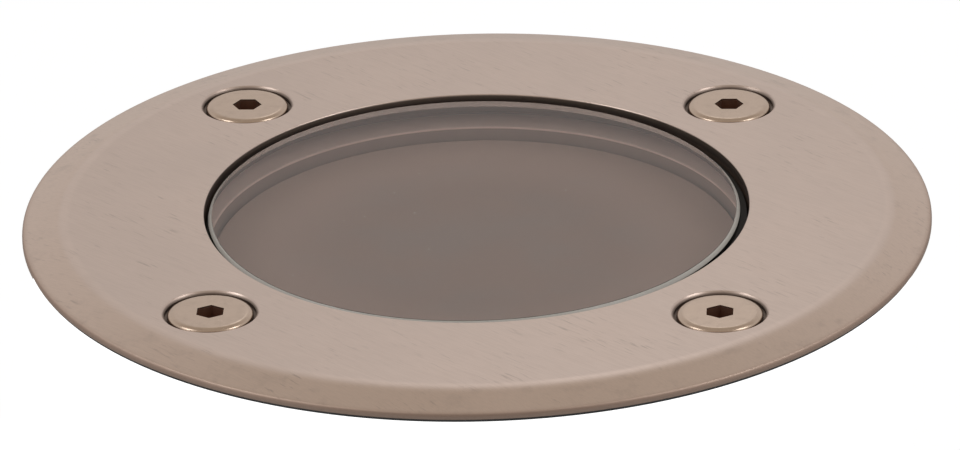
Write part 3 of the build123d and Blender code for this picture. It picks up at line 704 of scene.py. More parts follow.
@shared
def bright_screw():
    """Turned and barrelled steel of the screws, with small dents and painted shade in the socket."""
    steel = Finish("Bright screw", Metallic=1.0)
    tone = settings("finishes").screw
    socket_shade_tone = (0.32, 0.175, 0.12)
    width = settings("face").socket_width
    top = high(SCREWS[0]).z
    z = steel.along()[2]
    radius = steel.from_axis(SCREW_SIDE)
    turned = steel.node("ShaderNodeCombineXYZ", None, {0: radius, 1: 0.0, 2: z})
    blot = steel.noise(1.3, 4, 0.65)
    dent = steel.noise(0.35, 2, 0.5).between(0.62, 0.72)
    rings = steel.noise(0.10, 1, 0.5, turned)
    # Painted shade: the hexagon socket is made dark brown and rougher.
    socket = 1 - radius.between(width * 0.60, width * 0.64)
    socket = socket * (1 - z.between(top - 0.35 * MM, top - 0.02 * MM))
    base = steel.mix(blot.between(0.4, 0.8) * 0.5, tone, shade(tone, 0.8))
    height = blot * 0.5 - dent * 0.4 + rings * 0.15
    return steel.surface(
        steel.mix(socket * 0.9, base, socket_shade_tone), 0.18 + 0.12 * blot + 0.3 * socket, height, 0.03, 0.4
    )


@shared
def clear_glass():
    """Clear toughened glass: a ground edge, and painted shade on the side and the flange where it is held.
    """
    glass = Finish("Clear glass", Transmission_Weight=1.0, IOR=1.5)
    sizes = settings("lens")
    bottom, top = levels("lens")
    x, y, z = glass.along()
    off_axis = x - middle("lens").x
    radius = (off_axis * off_axis + y * y) ** 0.5
    fine = glass.noise(0.2, 2, 0.6)
    smear = glass.noise(9, 4, 0.6).between(0.5, 0.8)
    glass.surface(settings("finishes").glass, smear * fine * 0.03)

    face = sizes.radius - sizes.air - sizes.arris
    ground = radius.between(face - 0.02 * MM, face + 0.04 * MM)
    ground = ground * z.between(top - 1.15 * sizes.arris, top - sizes.arris)
    glass.cover(ground * (0.70 + 0.3 * fine), (0.56, 0.525, 0.475), 0.45)

    # Painted shade: the side of the glass under the ring is covered with dark brown.
    shaded_side_top = low("face_ring").z + 0.6 * MM
    side = radius.between(sizes.radius - 0.08 * MM, sizes.radius - 0.04 * MM)
    side = side * (1 - z.between(shaded_side_top - 0.05 * MM, shaded_side_top + 0.05 * MM))
    side = side * z.between(sizes.shoulder - 0.2 * MM, sizes.shoulder - 0.1 * MM)
    glass.cover(side, (0.30, 0.18, 0.16), 0.6)

    # Painted shade: the flange is covered with brown, darker towards the bottom.
    flange = radius.between(sizes.radius + 0.05 * MM, sizes.radius + 0.15 * MM)
    height = z.between(bottom + 0.2 * MM, bottom + 2.4 * MM)
    glass.cover(flange, glass.mix(height, (0.36, 0.21, 0.19), (0.55, 0.33, 0.29)), 0.6)

    clear = {"Color": (0.99, 0.985, 0.98), "Roughness": 0.0, "IOR": 1.5}
    underside = 1 - z.between(bottom + 0.05 * MM, bottom + 0.08 * MM)
    glass.blend(underside, glass.node("ShaderNodeBsdfRefraction", None, clear))
    return glass


@shared
def frosted_disc():
    """Frosted disc under the lens, dark while the light is off, with a few specks of dust."""
    disc = Finish("Frosted disc")
    tone = settings("finishes").opal
    dust_tone = (0.55, 0.52, 0.48)
    patch = disc.noise(11, 3, 0.55)
    fine = disc.noise(0.25, 2, 0.6)
    speck = disc.cells(2.6, "F1", "Distance")
    chance = disc.node("ShaderNodeSeparateColor", None, {0: speck.beside("Color")})
    dust = (1 - speck.between(0.03, 0.06)) * chance.between(0.70, 0.72)
    base = disc.mix(patch.between(0.35, 0.7) * 0.6, tone, shade(tone, 0.92, 1.04, 1.12))
    # Painted light: the disc is made paler towards its rim.
    base = disc.mix(disc.from_axis().between(14 * MM, 30 * MM), base, shade(tone, 1.42))
    return disc.surface(disc.mix(dust * 0.8, base, dust_tone), 0.62 + 0.14 * fine, fine, 0.02, 0.5)


@shared
def turned_aluminium():
    """Aluminium with fine rings from the lathe, and painted light on its top under the glass."""
    metal = Finish("Turned aluminium", Metallic=0.2)
    tone = settings("finishes").spacer
    painted_light_top = (0.95, 0.74, 0.68)
    top = high("spacer_ring").z
    z = metal.along()[2]
    # Painted light: the top under the glass is made much paler, against the shade of the ring over it.
    on_top = z.between(top - 0.3 * MM, top - 0.2 * MM)
    outward = (metal.from_axis() + z) / (0.12 * MM)
    rings = metal.node(
        "ShaderNodeTexNoise", {"noise_dimensions": "1D"}, {"W": outward, "Scale": 1.0, "Detail": 2.0}
    )
    base = metal.mix(rings, shade(tone, 0.8), tone)
    return metal.surface(metal.mix(on_top, base, painted_light_top), 0.36 + 0.18 * rings, rings, 0.01, 0.6)


# Colour, size of the grain, roughness, depth of the grain and share of scuffs.
MOULDED = {
    "Black rubber": ("rubber", 0.3, 0.72, 0.02, 0.3),
    "Sleeve plastic": ("plastic", 0.45, 0.42, 0.035, 0.6),
    "Gland nylon": ((0.018, 0.018, 0.019), 0.3, 0.38, 0.015, 0.3),
    "White nylon": ((0.70, 0.68, 0.62), 0.3, 0.40, 0.012, 0.2),
    "Driver case": ((0.62, 0.62, 0.60), 0.35, 0.45, 0.03, 0.2),
    "Thermal pad": ((0.20, 0.22, 0.25), 0.5, 0.65, 0.03, 0.0),
    "Reflector white": ((0.80, 0.80, 0.78), 0.5, 0.28, 0.01, 0.0),
    "Lead red": ((0.45, 0.02, 0.015), 0.5, 0.34, 0.01, 0.1),
    "Lead black": ((0.02, 0.02, 0.02), 0.5, 0.34, 0.01, 0.1),
    "Lead brown": ((0.12, 0.045, 0.015), 0.5, 0.34, 0.01, 0.1),
    "Lead blue": ((0.02, 0.10, 0.40), 0.5, 0.34, 0.01, 0.1),
}

# Colour, roughness, depth of the mottling and size of the grain.
SMALL_METALS = {
    "Spring steel": ((0.52, 0.51, 0.49), 0.24, 0.25, 0.2),
    "Bright zinc": ((0.62, 0.63, 0.66), 0.20, 0.2, 0.25),
    "Brass": ((0.62, 0.42, 0.14), 0.22, 0.3, 0.2),
    "Heat spreader": ((0.66, 0.66, 0.66), 0.34, 0.12, 0.15),
}


@shared
def moulded(name):
    """Moulded plastic or rubber with a fine grain, clouds and pale scuffs."""
    tone, grain_size, roughness, depth, scuff = MOULDED[name]
    if isinstance(tone, str):
        tone = getattr(settings("finishes"), tone)
    plastic = Finish(name)
    grain = plastic.noise(grain_size, 3, 0.6)
    cloud = plastic.noise(16, 4, 0.6)
    mark = plastic.noise(1.1, 5, 0.7, plastic.stretched((1, 1, 0.25))).between(0.62, 0.80)
    light = [min(channel * 1.35 + 0.012, 1) for channel in tone]
    worn = [min(channel * 1.5 + 0.035, 1) for channel in tone]
    base = plastic.mix(cloud.between(0.3, 0.75), tone, light)
    base = plastic.mix(mark * scuff, base, worn)
    return plastic.surface(base, roughness + 0.12 * (cloud - 0.5) + 0.10 * grain, grain, depth, 0.7)


@shared
def small_metal(name):
    """Metal of small parts: mottled tone, fine grain and faint dents."""
    tone, roughness, mottle, grain_size = SMALL_METALS[name]
    metal = Finish(name, Metallic=1.0)
    grain = metal.noise(grain_size, 3, 0.6)
    blot = metal.noise(2.5, 3, 0.6)
    base = metal.mix(blot.between(0.35, 0.75), tone, shade(tone, 1 - mottle))
    return metal.surface(base, roughness + 0.14 * grain + 0.08 * blot, grain, 0.01, 0.5)


@shared
def striped_lead():
    """Green insulation with its yellow stripe."""
    skin = Finish("Lead green and yellow")
    x, y, z = skin.along()
    wave = skin.noise(6, 1, 0.5)
    stripe = ((x + z) / (0.8 * MM) + wave).sine().between(-0.1, 0.1)
    return skin.surface(skin.mix(stripe, (0.04, 0.25, 0.04), (0.75, 0.60, 0.03)), 0.32 + 0.1 * wave)


@shared
def powder_coat():
    """Black powder coat over cast aluminium: an orange-peel texture and fine sparkle."""
    coat = Finish("Powder coat")
    tone = settings("finishes").coat
    peel = coat.noise(0.55, 2, 0.5)
    fine = coat.noise(0.12, 1, 0.5)
    cloud = coat.noise(12, 3, 0.5)
    base = coat.mix(cloud.between(0.3, 0.8) * 0.6 + fine * 0.3, tone, shade(tone, 1.7))
    return coat.surface(base, 0.40 + 0.15 * fine + 0.08 * cloud, peel + 0.3 * fine, 0.05, 0.7)


@shared
def board_mask():
    """White solder mask with faint copper tracks under it."""
    board = Finish("Board solder mask")
    track = 1 - board.cells(6, "DISTANCE_TO_EDGE", 0).between(0.03, 0.06)
    fine = board.noise(0.3, 2, 0.5)
    base = board.mix(track * 0.35, (0.78, 0.78, 0.74), (0.62, 0.62, 0.56))
    return board.surface(base, 0.30 + 0.1 * fine, track, 0.03, 0.5)


@shared
def led_phosphor():
    """White LED package with a yellow phosphor dome."""
    chip = Finish("LED phosphor")
    top = high("led_chips").z
    z = chip.along()[2]
    dome = z.between(top - 0.34 * MM, top - 0.28 * MM)
    fine = chip.noise(0.1, 2, 0.6)
    return chip.surface(chip.mix(dome, (0.75, 0.74, 0.70), (0.80, 0.55, 0.06)), 0.25 + 0.2 * fine)


# ---- Pieces -------------------------------------------------------------------


class Piece(bpy.types.Operator):
    """What the operators of this add-on share."""

    bl_options = {"REGISTER", "UNDO"}

    def execute(self, context):
        self.make()
        return {"FINISHED"}


class MakeRing(Piece):
    """Models the face ring: flat, sloping band, rounded edge and countersinks"""

    bl_idname = "well_light.ring"
    bl_label = "Face Ring"

    def countersink(self, sizes, bottom, top):
        """What a screw's place cuts out of the ring."""
        reach = 1 * MM
        radius, wall = sizes.countersink_radius, sizes.countersink_wall
        step = top - sizes.countersink_step
        outline = [(radius + reach, top + reach), (wall, top - (radius - wall)), (wall, step)]
        outline += [(radius - sizes.countersink_step, step)]
        outline += [(sizes.hole_radius, top - (radius - sizes.hole_radius))]
        outline += [(sizes.hole_radius, bottom - reach)]
        return lathe("sink", outline, MIDDLE_SIDES, capped=True)

    def make(self):
        sizes = settings("face")
        bottom, top = levels("face_ring")
        rim, web = high("face_ring").x, high("housing").x
        slope = math.atan2(sizes.bevel_drop, sizes.bevel_width)
        normal = 90 - math.degrees(slope)
        flat_edge = rim - sizes.bevel_width
        crest = sizes.crest_round
        crest_start = flat_edge - crest * math.tan(slope / 2)
        edge_in = rim - sizes.edge_round
        edge_level = top - (edge_in - flat_edge) * math.tan(slope) - sizes.edge_round / math.cos(slope)
        foot = top - sizes.edge_height
        outline = stepped(sizes.opening_radius, bottom, top - sizes.arris)
        outline += [(sizes.opening_radius + sizes.arris, top)]
        outline += arc(crest_start, top - crest, crest, 90, normal, 6)
        outline += arc(edge_in, edge_level, sizes.edge_round, normal, 0, 8)
        outline += [(rim, foot)] + stepped(sizes.recess_radius, foot, sizes.recess_height, web, bottom)
        ring = lathe("ring", outline, FACE_SIDES)
        cut(ring, *at_screws(self.countersink(sizes, bottom, top)))
        soften(ring, 0.06 * MM, 2, 28)
        finish(ring, "trim_ring", "face_ring", brushed_ring(), "face_ring")


class MakeScrews(Piece):
    """Models the four countersunk socket screws with their threads"""

    bl_idname = "well_light.screws"
    bl_label = "Face Screws"

    def thread(self, sizes, tip, top):
        """A helical ridge round the shank, flat at both ends."""
        clear_selection()
        bpy.ops.mesh.primitive_plane_add(size=math.sqrt(2), rotation=(QUARTER, QUARTER / 2, 0))
        ridge = added("ridge")
        inner = min(ridge.data.vertices, key=lambda vertex: vertex.co.x).index
        bpy.ops.object.mode_set(mode="EDIT")
        bpy.ops.mesh.select_mode(type="VERT")
        bpy.ops.mesh.select_all(action="DESELECT")
        bpy.ops.object.mode_set(mode="OBJECT")
        ridge.data.vertices[inner].select = True
        bpy.ops.object.mode_set(mode="EDIT")
        bpy.ops.mesh.delete(type="VERT")
        bpy.ops.object.mode_set(mode="OBJECT")
        moved(ridge, Matrix.Diagonal((sizes.thread_depth, 1, sizes.thread_pitch / 2, 1)))
        shifted(ridge, sizes.shank_radius - sizes.thread_depth, 0, tip - sizes.thread_pitch)
        pick(ridge)
        modify(
            ridge,
            "SCREW",
            axis="Z",
            steps=40,
            render_steps=40,
            screw_offset=sizes.thread_pitch,
            iterations=math.ceil((top - tip) / sizes.thread_pitch) + 2,
            use_merge_vertices=True,
        )
        for level, side in ((tip, 1), (top, -1)):
            edit()
            bpy.ops.mesh.remove_doubles(threshold=0.001 * MM)
            bpy.ops.mesh.select_all(action="SELECT")
            bpy.ops.mesh.bisect(
                plane_co=(0, 0, level), plane_no=(0, 0, side), use_fill=True, clear_inner=True
            )
            bpy.ops.object.mode_set(mode="OBJECT")
        bpy.ops.object.mode_set(mode="EDIT")
        face_outwards()
        return ridge

    def body(self, sizes, tip, top):
        """The turned head and shank with the thread on it."""
        cone_top = sizes.countersink_radius - sizes.head_gap
        land = top - (cone_top - sizes.head_radius)
        if top - sizes.head_round < land:
            raise ValueError("the rounded edge is higher than the head's upright wall")
        cone_foot = top - (cone_top - sizes.shank_radius)
        neck = cone_foot - sizes.thread_pitch
        chamfer = 0.6 * MM
        root = sizes.shank_radius - sizes.thread_depth
        core = root + 0.01 * MM
        outline = []
        for degrees in range(90, -1, -18):
            turn = math.radians(degrees)
            inward = sizes.head_round_width * (1 - math.cos(turn))
            outline += [(sizes.head_radius - inward, top - sizes.head_round * (1 - math.sin(turn)))]
        outline += [(sizes.head_radius, land), (sizes.shank_radius, cone_foot), (sizes.shank_radius, neck)]
        outline += [(core, neck - chamfer), (core, tip + chamfer / 2), (root - chamfer / 2, tip)]
        body = lathe("screw", outline, SMALL_SIDES, capped=True)
        soften(body, 0.08 * MM, 2, 40)
        return weld(body, self.thread(sizes, tip + chamfer / 2, neck - 0.1 * MM))

    def make(self):
        sizes = settings("face")
        tip, top = levels(SCREWS[0])
        body = self.body(sizes, tip, top)
        corner = sizes.socket_width / math.sqrt(3)
        floor = top - sizes.socket_depth
        for name in SCREWS:
            place = middle(name)
            turn = 0 if place.y > 0 else math.radians(30)
            socket = bar("socket", 6, corner, floor, top + 1 * MM, turn)
            drill = [(corner * 0.86, floor + 0.05 * MM), (0.2 * MM, floor - 0.7 * MM)]
            weld(socket, lathe("drill", drill, 24, capped=True))
            piece = cut(copy_of(body), socket)
            shifted(piece, place.x, place.y)
            finish(piece, f"socket_screw_{name[-1]}", name, bright_screw(), name)
        bpy.data.objects.remove(body)


class MakeWashers(Piece):
    """Models the nylon washers that keep the screws in the ring"""

    bl_idname = "well_light.washers"
    bl_label = "Screw Washers"

    def make(self):
        bottom, top = levels("screw_retainers")
        bottom += 0.03 * MM
        inner = settings("face").shank_radius + 0.05 * MM
        outer = high("screw_retainers").x - SCREW_SIDE
        washer = lathe("washer", stepped(inner, bottom, top, outer, bottom), SMALL_SIDES)
        soften(washer, 0.12 * MM, 2)
        washers = joined("washers", at_screws(washer))
        nylon = moulded("White nylon")
        finish(washers, "screw_washers", "face_ring", nylon, "screw_retainers")


class MakeLens(Piece):
    """Models the stepped glass lens"""

    bl_idname = "well_light.lens"
    bl_label = "Lens"

    def make(self):
        sizes = settings("lens")
        bottom, top = low("lens").z + sizes.air, high("lens").z
        flange = (high("lens").x - low("lens").x) / 2 - sizes.air
        radius = sizes.radius - sizes.air
        shoulder = sizes.shoulder - sizes.air
        outline = [(flange - sizes.arris, bottom), (flange, bottom + sizes.arris)]
        outline += [(flange, shoulder - sizes.arris), (flange - sizes.arris, shoulder), (radius, shoulder)]
        outline += [(radius, top - sizes.arris), (radius - sizes.arris, top)]
        glass = lathe("glass", outline, FACE_SIDES, capped=True)
        soften(glass, 0.07 * MM, 3, 25)
        shifted(glass, middle("lens").x)
        finish(glass, "glass_lens", "lens", clear_glass(), "lens")


class MakeSpacer(Piece):
    """Models the turned spacer ring and the frosted disc on its ledge"""

    bl_idname = "well_light.spacer"
    bl_label = "Spacer and Diffuser"

    def make(self):
        sizes = settings("lens")
        bottom, top = levels("spacer_ring")
        seat, level = levels("diffuser")
        outer, radius = high("spacer_ring").x, high("diffuser").x
        spacer = lathe("spacer", stepped(outer, bottom, top, sizes.bore, seat, sizes.ledge, bottom))
        soften(spacer, 0.15 * MM, 2)
        finish(spacer, "turned_spacer", "housing", turned_aluminium(), "spacer_ring")
        edge = sizes.diffuser_edge
        rim = [(radius - edge, seat), (radius, seat + edge), (radius, level - edge), (radius - edge, level)]
        disc = lathe("disc", rim, capped=True)
        soften(disc, 0.08 * MM, 2, 25)
        finish(disc, "frosted_disc", "diffuser", frosted_disc(), "diffuser")


class MakeHousing(Piece):
    """Models the cast housing: collar, can, cooling fins and spring pads"""

    bl_idname = "well_light.housing"
    bl_label = "Housing"

    def shell(self, sizes):
        """The turned body of the housing."""
        bottom, top = levels("housing")
        upper_bore = sizes.upper_radius - sizes.wall
        lower_bore = sizes.lower_radius - sizes.wall
        outline = stepped(
            lower_bore, sizes.floor_level, sizes.seat_level,
            upper_bore, sizes.ledge_level,
            sizes.collar_bore, top,
            high("housing").x, sizes.collar_bottom,
            sizes.channel_outer, sizes.channel_roof,
            sizes.channel_inner, sizes.collar_bottom,
            sizes.upper_radius, sizes.step_level,
        )
        outline += stepped(sizes.lower_radius, sizes.step_level - 2 * MM, bottom)
        body = lathe("body", outline, capped=True)
        return soften(body, 0.35 * MM, 3, 20)

    def fin(self, sizes, root, overlap):
        """One cooling fin, thinner at its edge, with rounded corners."""
        bottom = low("housing").z + overlap
        half = sizes.fin_root / 2
        fin = slab("fin", (root, -half, bottom), (sizes.fin_radius, half, sizes.collar_bottom + overlap))
        for vertex in fin.data.vertices:
            if vertex.co.x > root + MM:
                vertex.co.y *= sizes.fin_tip / sizes.fin_root
                if vertex.co.z < bottom + MM:
                    vertex.co.z += 2.5 * MM
        return soften(fin, 0.4 * MM, 3, 25)

    def make(self):
        sizes = settings("housing")
        top = high("housing").z
        root = sizes.lower_radius - sizes.wall / 2
        overlap = 0.5 * MM
        body = self.shell(sizes)
        weld(body, joined("fins", ring_of(self.fin(sizes, root, overlap), sizes.fin_count)))
        half = sizes.pad_width / 2
        pad_foot = sizes.pad_top - sizes.pad_height
        pad = slab("pad", (root, -half, pad_foot), (sizes.fin_radius, half, sizes.pad_top))
        soften(pad, 0.6 * MM, 3)
        weld(body, joined("pads", ring_of(pad, 3, sizes.pad_turn)))
        boss = bar("boss", 40, sizes.boss_radius, sizes.collar_bottom, sizes.channel_roof + overlap)
        weld(body, joined("bosses", at_screws(boss)))
        hole = bar("hole", SMALL_SIDES, sizes.insert_radius, top - sizes.insert_depth, top + MM)
        below, above = low("housing").z - MM, sizes.floor_level + MM
        opening = bar("opening", SMALL_SIDES, sizes.gland_hole, below, above)
        shifted(opening, *middle("gland_nut").xy)
        cut(body, *at_screws(hole), opening)
        finish(body, "cast_housing", "housing", powder_coat(), "housing")


class MakeInserts(Piece):
    """Models the knurled brass inserts in the collar"""

    bl_idname = "well_light.inserts"
    bl_label = "Threaded Inserts"

    def make(self):
        bottom, top = levels("threaded_inserts")
        outer = high("threaded_inserts").x - SCREW_SIDE
        bore = settings("face").shank_radius + 0.05 * MM
        groove = 0.25 * MM
        outline = [(outer - groove, bottom), (outer, bottom + groove), (outer, top - groove)]
        outline += [(outer - groove, top), (bore + 2 * groove, top), (bore, top - 2 * groove)]
        outline += [(bore, bottom)]
        insert = lathe("insert", outline, MIDDLE_SIDES)
        for vertex in insert.data.vertices:
            beside = vertex.co.xy.length > outer - groove / 2
            if beside and vertex.index % 3 == 0 and vertex.co.z < top - 2 * groove:
                vertex.co.x *= 0.96
                vertex.co.y *= 0.96
        inserts = joined("inserts", at_screws(insert))
        finish(inserts, "brass_inserts", "housing", small_metal("Brass"), "threaded_inserts")


class MakeGland(Piece):
    """Models the cable gland's cap nut"""

    bl_idname = "well_light.gland"
    bl_label = "Cable Gland"

    def make(self):
        bottom, top = levels("gland_nut")
        corner = (high("gland_nut").y - low("gland_nut").y) / math.sqrt(3)
        round_end = bottom + 4 * MM
        dome = [(corner * 1.02, top + MM), (corner * 0.985, top - MM), (corner * 0.985, round_end)]
        dome += arc(corner - 4 * MM, round_end, 3.8 * MM, 0, -80, 8)
        nut = bar("nut", 6, corner, bottom, top)
        combine(nut, lathe("dome", dome, MIDDLE_SIDES, capped=True), "INTERSECT")
        soften(nut, 0.3 * MM, 3, 25)
        bore = stepped(4.4 * MM, bottom - MM, bottom + 3.5 * MM, 7.95 * MM, top + MM)
        cut(nut, lathe("bore", bore, SMALL_SIDES, capped=True))
        shifted(nut, *middle("gland_nut").xy)
        finish(nut, "cap_nut", "gland_nut", moulded("Gland nylon"), "gland_nut")


class MakeSleeve(Piece):
    """Models the buried sleeve: flange, smooth band, ribs, hoops and cable openings"""

    bl_idname = "well_light.sleeve"
    bl_label = "Sleeve"

    def shell(self, sizes, wall_radius, band_foot, floor):
        """The turned body of the sleeve."""
        bottom, top = levels("sleeve")
        lip = high("sleeve").x
        wall_top = band_foot - sizes.step_in
        bore = sizes.band_radius - sizes.wall
        outline = stepped(sizes.drain_radius, floor, bottom, wall_radius, wall_top)
        outline += stepped(
            sizes.band_radius, band_foot, 0, lip, sizes.lip_height, sizes.step_radius, top, bore, band_foot
        )
        outline += stepped(wall_radius - sizes.wall, wall_top, floor)
        return lathe("shell", outline)

    def ribs_and_hoops(self, sizes, wall_radius, band_foot):
        """The upright ribs as one mesh, then each hoop."""
        root = wall_radius - sizes.wall / 2
        face = sizes.band_radius - sizes.rib_inset
        half = sizes.rib_width / 2
        rib = slab("rib", (root, -half, low("sleeve").z), (face, half, band_foot - 0.2 * MM))
        additions = [joined("ribs", ring_of(rib, sizes.rib_count, FULL_TURN / sizes.rib_count / 2))]
        for i in range(1, sizes.hoop_count + 1):
            foot = band_foot - i * sizes.hoop_pitch
            crown = foot + sizes.hoop_height
            additions.append(lathe("hoop", [(root, foot), (face, foot), (face, crown), (root, crown)]))
        return additions

    def arch(self, sizes, floor):
        """What a cable opening cuts out of the wall."""
        half = sizes.slot_width / 2
        spring = floor + sizes.slot_height - half
        reach = high("sleeve").y + 5 * MM
        arch = slab("arch", (-half, 0, floor), (half, reach, spring))
        crown = moved(bar("crown", SMALL_SIDES, half, 0, reach), Matrix.Rotation(-QUARTER, 4, "X"))
        return weld(arch, shifted(crown, 0, 0, spring))

    def drain(self, sizes, floor):
        """What a drain slot cuts out of the floor."""
        stretch = sizes.drain_length - sizes.drain_width
        start = sizes.drain_circle - stretch / 2
        drain = shifted(bar("drain", 48, sizes.drain_width / 2, low("sleeve").z - MM, floor + MM), start)
        for vertex in drain.data.vertices:
            if vertex.co.x > start:
                vertex.co.x += stretch
        return drain

    def make(self):
        sizes = settings("sleeve")
        wall_radius = sizes.band_radius - sizes.step_in
        band_foot = -sizes.band_height
        floor = low("sleeve").z + sizes.floor
        body = self.shell(sizes, wall_radius, band_foot, floor)
        weld(body, *self.ribs_and_hoops(sizes, wall_radius, band_foot))
        cut(body, *ring_of(self.arch(sizes, floor), 2))
        cut(body, *ring_of(self.drain(sizes, floor), sizes.drain_count, FULL_TURN / sizes.drain_count / 2))
        soften(body, 0.3 * MM, 2, 40)
        finish(body, "buried_sleeve", "sleeve", moulded("Sleeve plastic"), "sleeve")


def dress(material, *nodes):
    """Gives packed parts that stay in view their finish."""
    for node in nodes:
        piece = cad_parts[node]
        piece.data.materials.clear()
        piece.data.materials.append(material)


class DressCarried(Piece):
    """Gives the packed parts that stay in view their finishes"""

    bl_idname = "well_light.dress"
    bl_label = "Finishes of the Inside"

    def make(self):
        dress(moulded("Black rubber"), "lens_gasket", "housing_gasket", "gland_washer", "gland_seal")
        dress(moulded("Gland nylon"), "gland_body", "gland_locknut")
        dress(moulded("Sleeve plastic"), "drain_screen")
        dress(moulded("White nylon"), "terminal_block")
        dress(moulded("Driver case"), "driver_case")
        dress(moulded("Thermal pad"), "thermal_pad")
        dress(moulded("Reflector white"), "reflector")
        dress(moulded("Lead red"), "led_lead_positive")
        dress(moulded("Lead black"), "led_lead_negative")
        dress(moulded("Lead brown"), "live_lead")
        dress(moulded("Lead blue"), "neutral_lead")
        dress(striped_lead(), "earth_lead")
        dress(small_metal("Spring steel"), "retaining_springs")
        dress(small_metal("Bright zinc"), "spring_screws", "module_screws", "driver_screws")
        dress(small_metal("Bright zinc"), "terminal_screws", "earth_tag")
        dress(small_metal("Brass"), "earth_screw")
        dress(small_metal("Heat spreader"), "heat_spreader")
        dress(board_mask(), "led_board")
        dress(led_phosphor(), "led_chips")


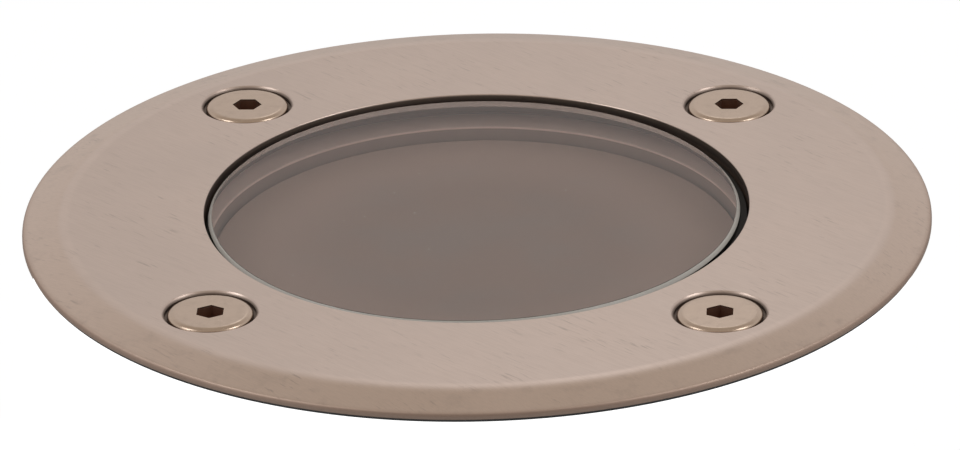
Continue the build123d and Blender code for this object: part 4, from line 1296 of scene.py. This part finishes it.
class MakeStage(Piece):
    """Sets up the ground, the soft light and the camera"""

    bl_idname = "well_light.stage"
    bl_label = "Stage"

    def white_in_picture(self, name, glow):
        """Pale matt finish that looks white to the camera, less where something shades it."""
        ground = Finish(name)
        speck = ground.noise(3, 2, 0.5)
        ground.surface(ground.mix(speck, (0.56, 0.55, 0.54), (0.54, 0.54, 0.53)), 0.9)
        seen = ground.node("ShaderNodeLightPath", output="Is Camera Ray")
        white = ground.node("ShaderNodeEmission", None, {"Color": (1, 1, 1), "Strength": 1.25})
        ground.blend(seen * glow, white)
        return ground.material

    def floor(self):
        """The wide floor under the sleeve."""
        clear_selection()
        bpy.ops.mesh.primitive_plane_add(size=3.0, location=(0, 0, low("sleeve").z - 0.2 * MM))
        floor = bpy.context.object
        floor.name = "floor"
        floor.data.materials.append(self.white_in_picture("Floor", 0.7))

    def card(self, stage, eye):
        """A white card near the camera, cut out along the lip: it hides what lies in the ground.

        It is laid out at ground level and then drawn towards the camera, which leaves its
        outline in the picture as it was.
        """
        half = stage.card_width / 2
        level = stage.card_level
        card = slab("card", (-half, stage.card_front, level - 0.5 * MM), (half, stage.card_back, level))
        cut(card, bar("hole", ROUND_SIDES, high("sleeve").x + 0.05 * MM, -2 * MM, 2 * MM))
        moved(card, Matrix.Translation(eye) @ Matrix.Scale(stage.card_share, 4) @ Matrix.Translation(-eye))
        for ray in ("diffuse", "glossy", "transmission", "shadow"):
            setattr(card, "visible_" + ray, False)
        card.data.materials.append(self.white_in_picture("Card", 1.0))

    def world(self, stage):
        """White in the picture; in reflections a studio, darker overhead and behind the camera."""
        world = bpy.data.worlds.new("Studio")
        bpy.context.scene.world = world
        world.use_nodes = True
        tree = Tree(world.node_tree)
        sky = tree.node("ShaderNodeTexCoord", output="Generated")
        height = tree.node("ShaderNodeSeparateXYZ", None, {0: sky}, output="Z")
        dot = {"operation": "DOT_PRODUCT"}
        to_camera = Vector((0.05, -0.907, 0.417))
        facing = tree.node("ShaderNodeVectorMath", dot, {0: sky, 1: to_camera}, output="Value")
        seen = tree.node("ShaderNodeLightPath", output="Is Camera Ray")
        through = seen.beside("Is Transmission Ray")
        mirrored = seen.beside("Is Glossy Ray").larger(through)
        studio = tree.mix(height.between(0.50, 0.85), stage.low_studio, stage.high_studio)
        studio = tree.mix(facing.between(0.70, 0.95) * (1 - through), studio, stage.dark_studio)
        light = tree.mix(mirrored, [stage.daylight] * 3, studio)
        tree.plug(tree.nodes["Background"].inputs["Color"], tree.mix(seen, light, (1, 1, 1)))

    def lamps(self, stage):
        """Soft lamps high on the left and on the right, and a faint one behind."""
        for name, place, size, share in (
            ("lamp_left", (-0.42, -0.08, 0.52), 0.24, 1.0),
            ("lamp_right", (0.42, -0.05, 0.52), 0.24, 1.0),
            ("lamp_behind", (0.0, 0.647, 0.47), 0.14, 0.10),
        ):
            light = bpy.data.lights.new(name, "AREA")
            light.shape = "DISK"
            light.size = size
            light.energy = stage.lamp_power * share
            lamp = bpy.data.objects.new(name, light)
            bpy.context.scene.collection.objects.link(lamp)
            lamp.location = place
            lamp.rotation_euler = (-Vector(place)).to_track_quat("-Z", "Y").to_euler()

    def camera(self, stage):
        """The photograph's view, found from the ellipses of the ring."""
        face = Vector((0, 0, high("face_ring").z))
        back = Vector((
            math.sin(stage.azimuth) * math.cos(stage.elevation),
            -math.cos(stage.azimuth) * math.cos(stage.elevation),
            math.sin(stage.elevation),
        ))
        across = (stage.face_column - stage.picture_width / 2) / stage.focal_pixels
        down = (stage.face_row - stage.picture_height / 2) / stage.focal_pixels
        camera = bpy.data.cameras.new("camera")
        camera.sensor_width = 36
        camera.lens = camera.sensor_width * stage.focal_pixels / stage.picture_width
        camera.clip_start = 0.05
        camera.clip_end = 10
        holder = bpy.data.objects.new("camera", camera)
        bpy.context.scene.collection.objects.link(holder)
        aim = (-back).to_track_quat("-Z", "Y").to_matrix()
        aim = aim @ Matrix.Rotation(across, 3, "Y") @ Matrix.Rotation(down, 3, "X")
        aim = aim @ Matrix.Rotation(stage.roll, 3, "Z")
        holder.matrix_world = Matrix.LocRotScale(face + back * stage.distance, aim, None)
        bpy.context.scene.camera = holder
        return holder.matrix_world.translation.copy()

    def make(self):
        stage = settings("stage")
        self.floor()
        self.world(stage)
        self.lamps(stage)
        self.card(stage, self.camera(stage))
        bpy.context.scene.view_settings.view_transform = "Standard"


OPERATORS = (
    MakeStage,
    MakeRing,
    MakeScrews,
    MakeWashers,
    MakeLens,
    MakeSpacer,
    MakeHousing,
    MakeInserts,
    MakeGland,
    MakeSleeve,
    DressCarried,
)


class WellLightPanel(bpy.types.Panel):
    """Lists the pieces of the well light"""

    bl_idname = "VIEW3D_PT_well_light"
    bl_label = "Well Light"
    bl_space_type = "VIEW_3D"
    bl_region_type = "UI"
    bl_category = "Well Light"

    def draw(self, context):
        for operator in OPERATORS:
            self.layout.operator(operator.bl_idname)
        for name, group in GROUPS.items():
            box = self.layout.box()
            box.label(text=group.__doc__.rstrip("."))
            for field in group.__annotations__:
                box.prop(getattr(context.scene, name), field)


CLASSES = (*GROUPS.values(), *OPERATORS, WellLightPanel)


def register():
    for each in CLASSES:
        bpy.utils.register_class(each)
    for name, group in GROUPS.items():
        setattr(bpy.types.Scene, name, PointerProperty(type=group))


def unregister():
    for name in GROUPS:
        delattr(bpy.types.Scene, name)
    for each in reversed(CLASSES):
        bpy.utils.unregister_class(each)


def main():
    """Builds every piece."""
    register()
    for operator in OPERATORS:
        group, name = operator.bl_idname.split(".")
        getattr(getattr(bpy.ops, group), name)()


if __name__ == "__main__":
    main()
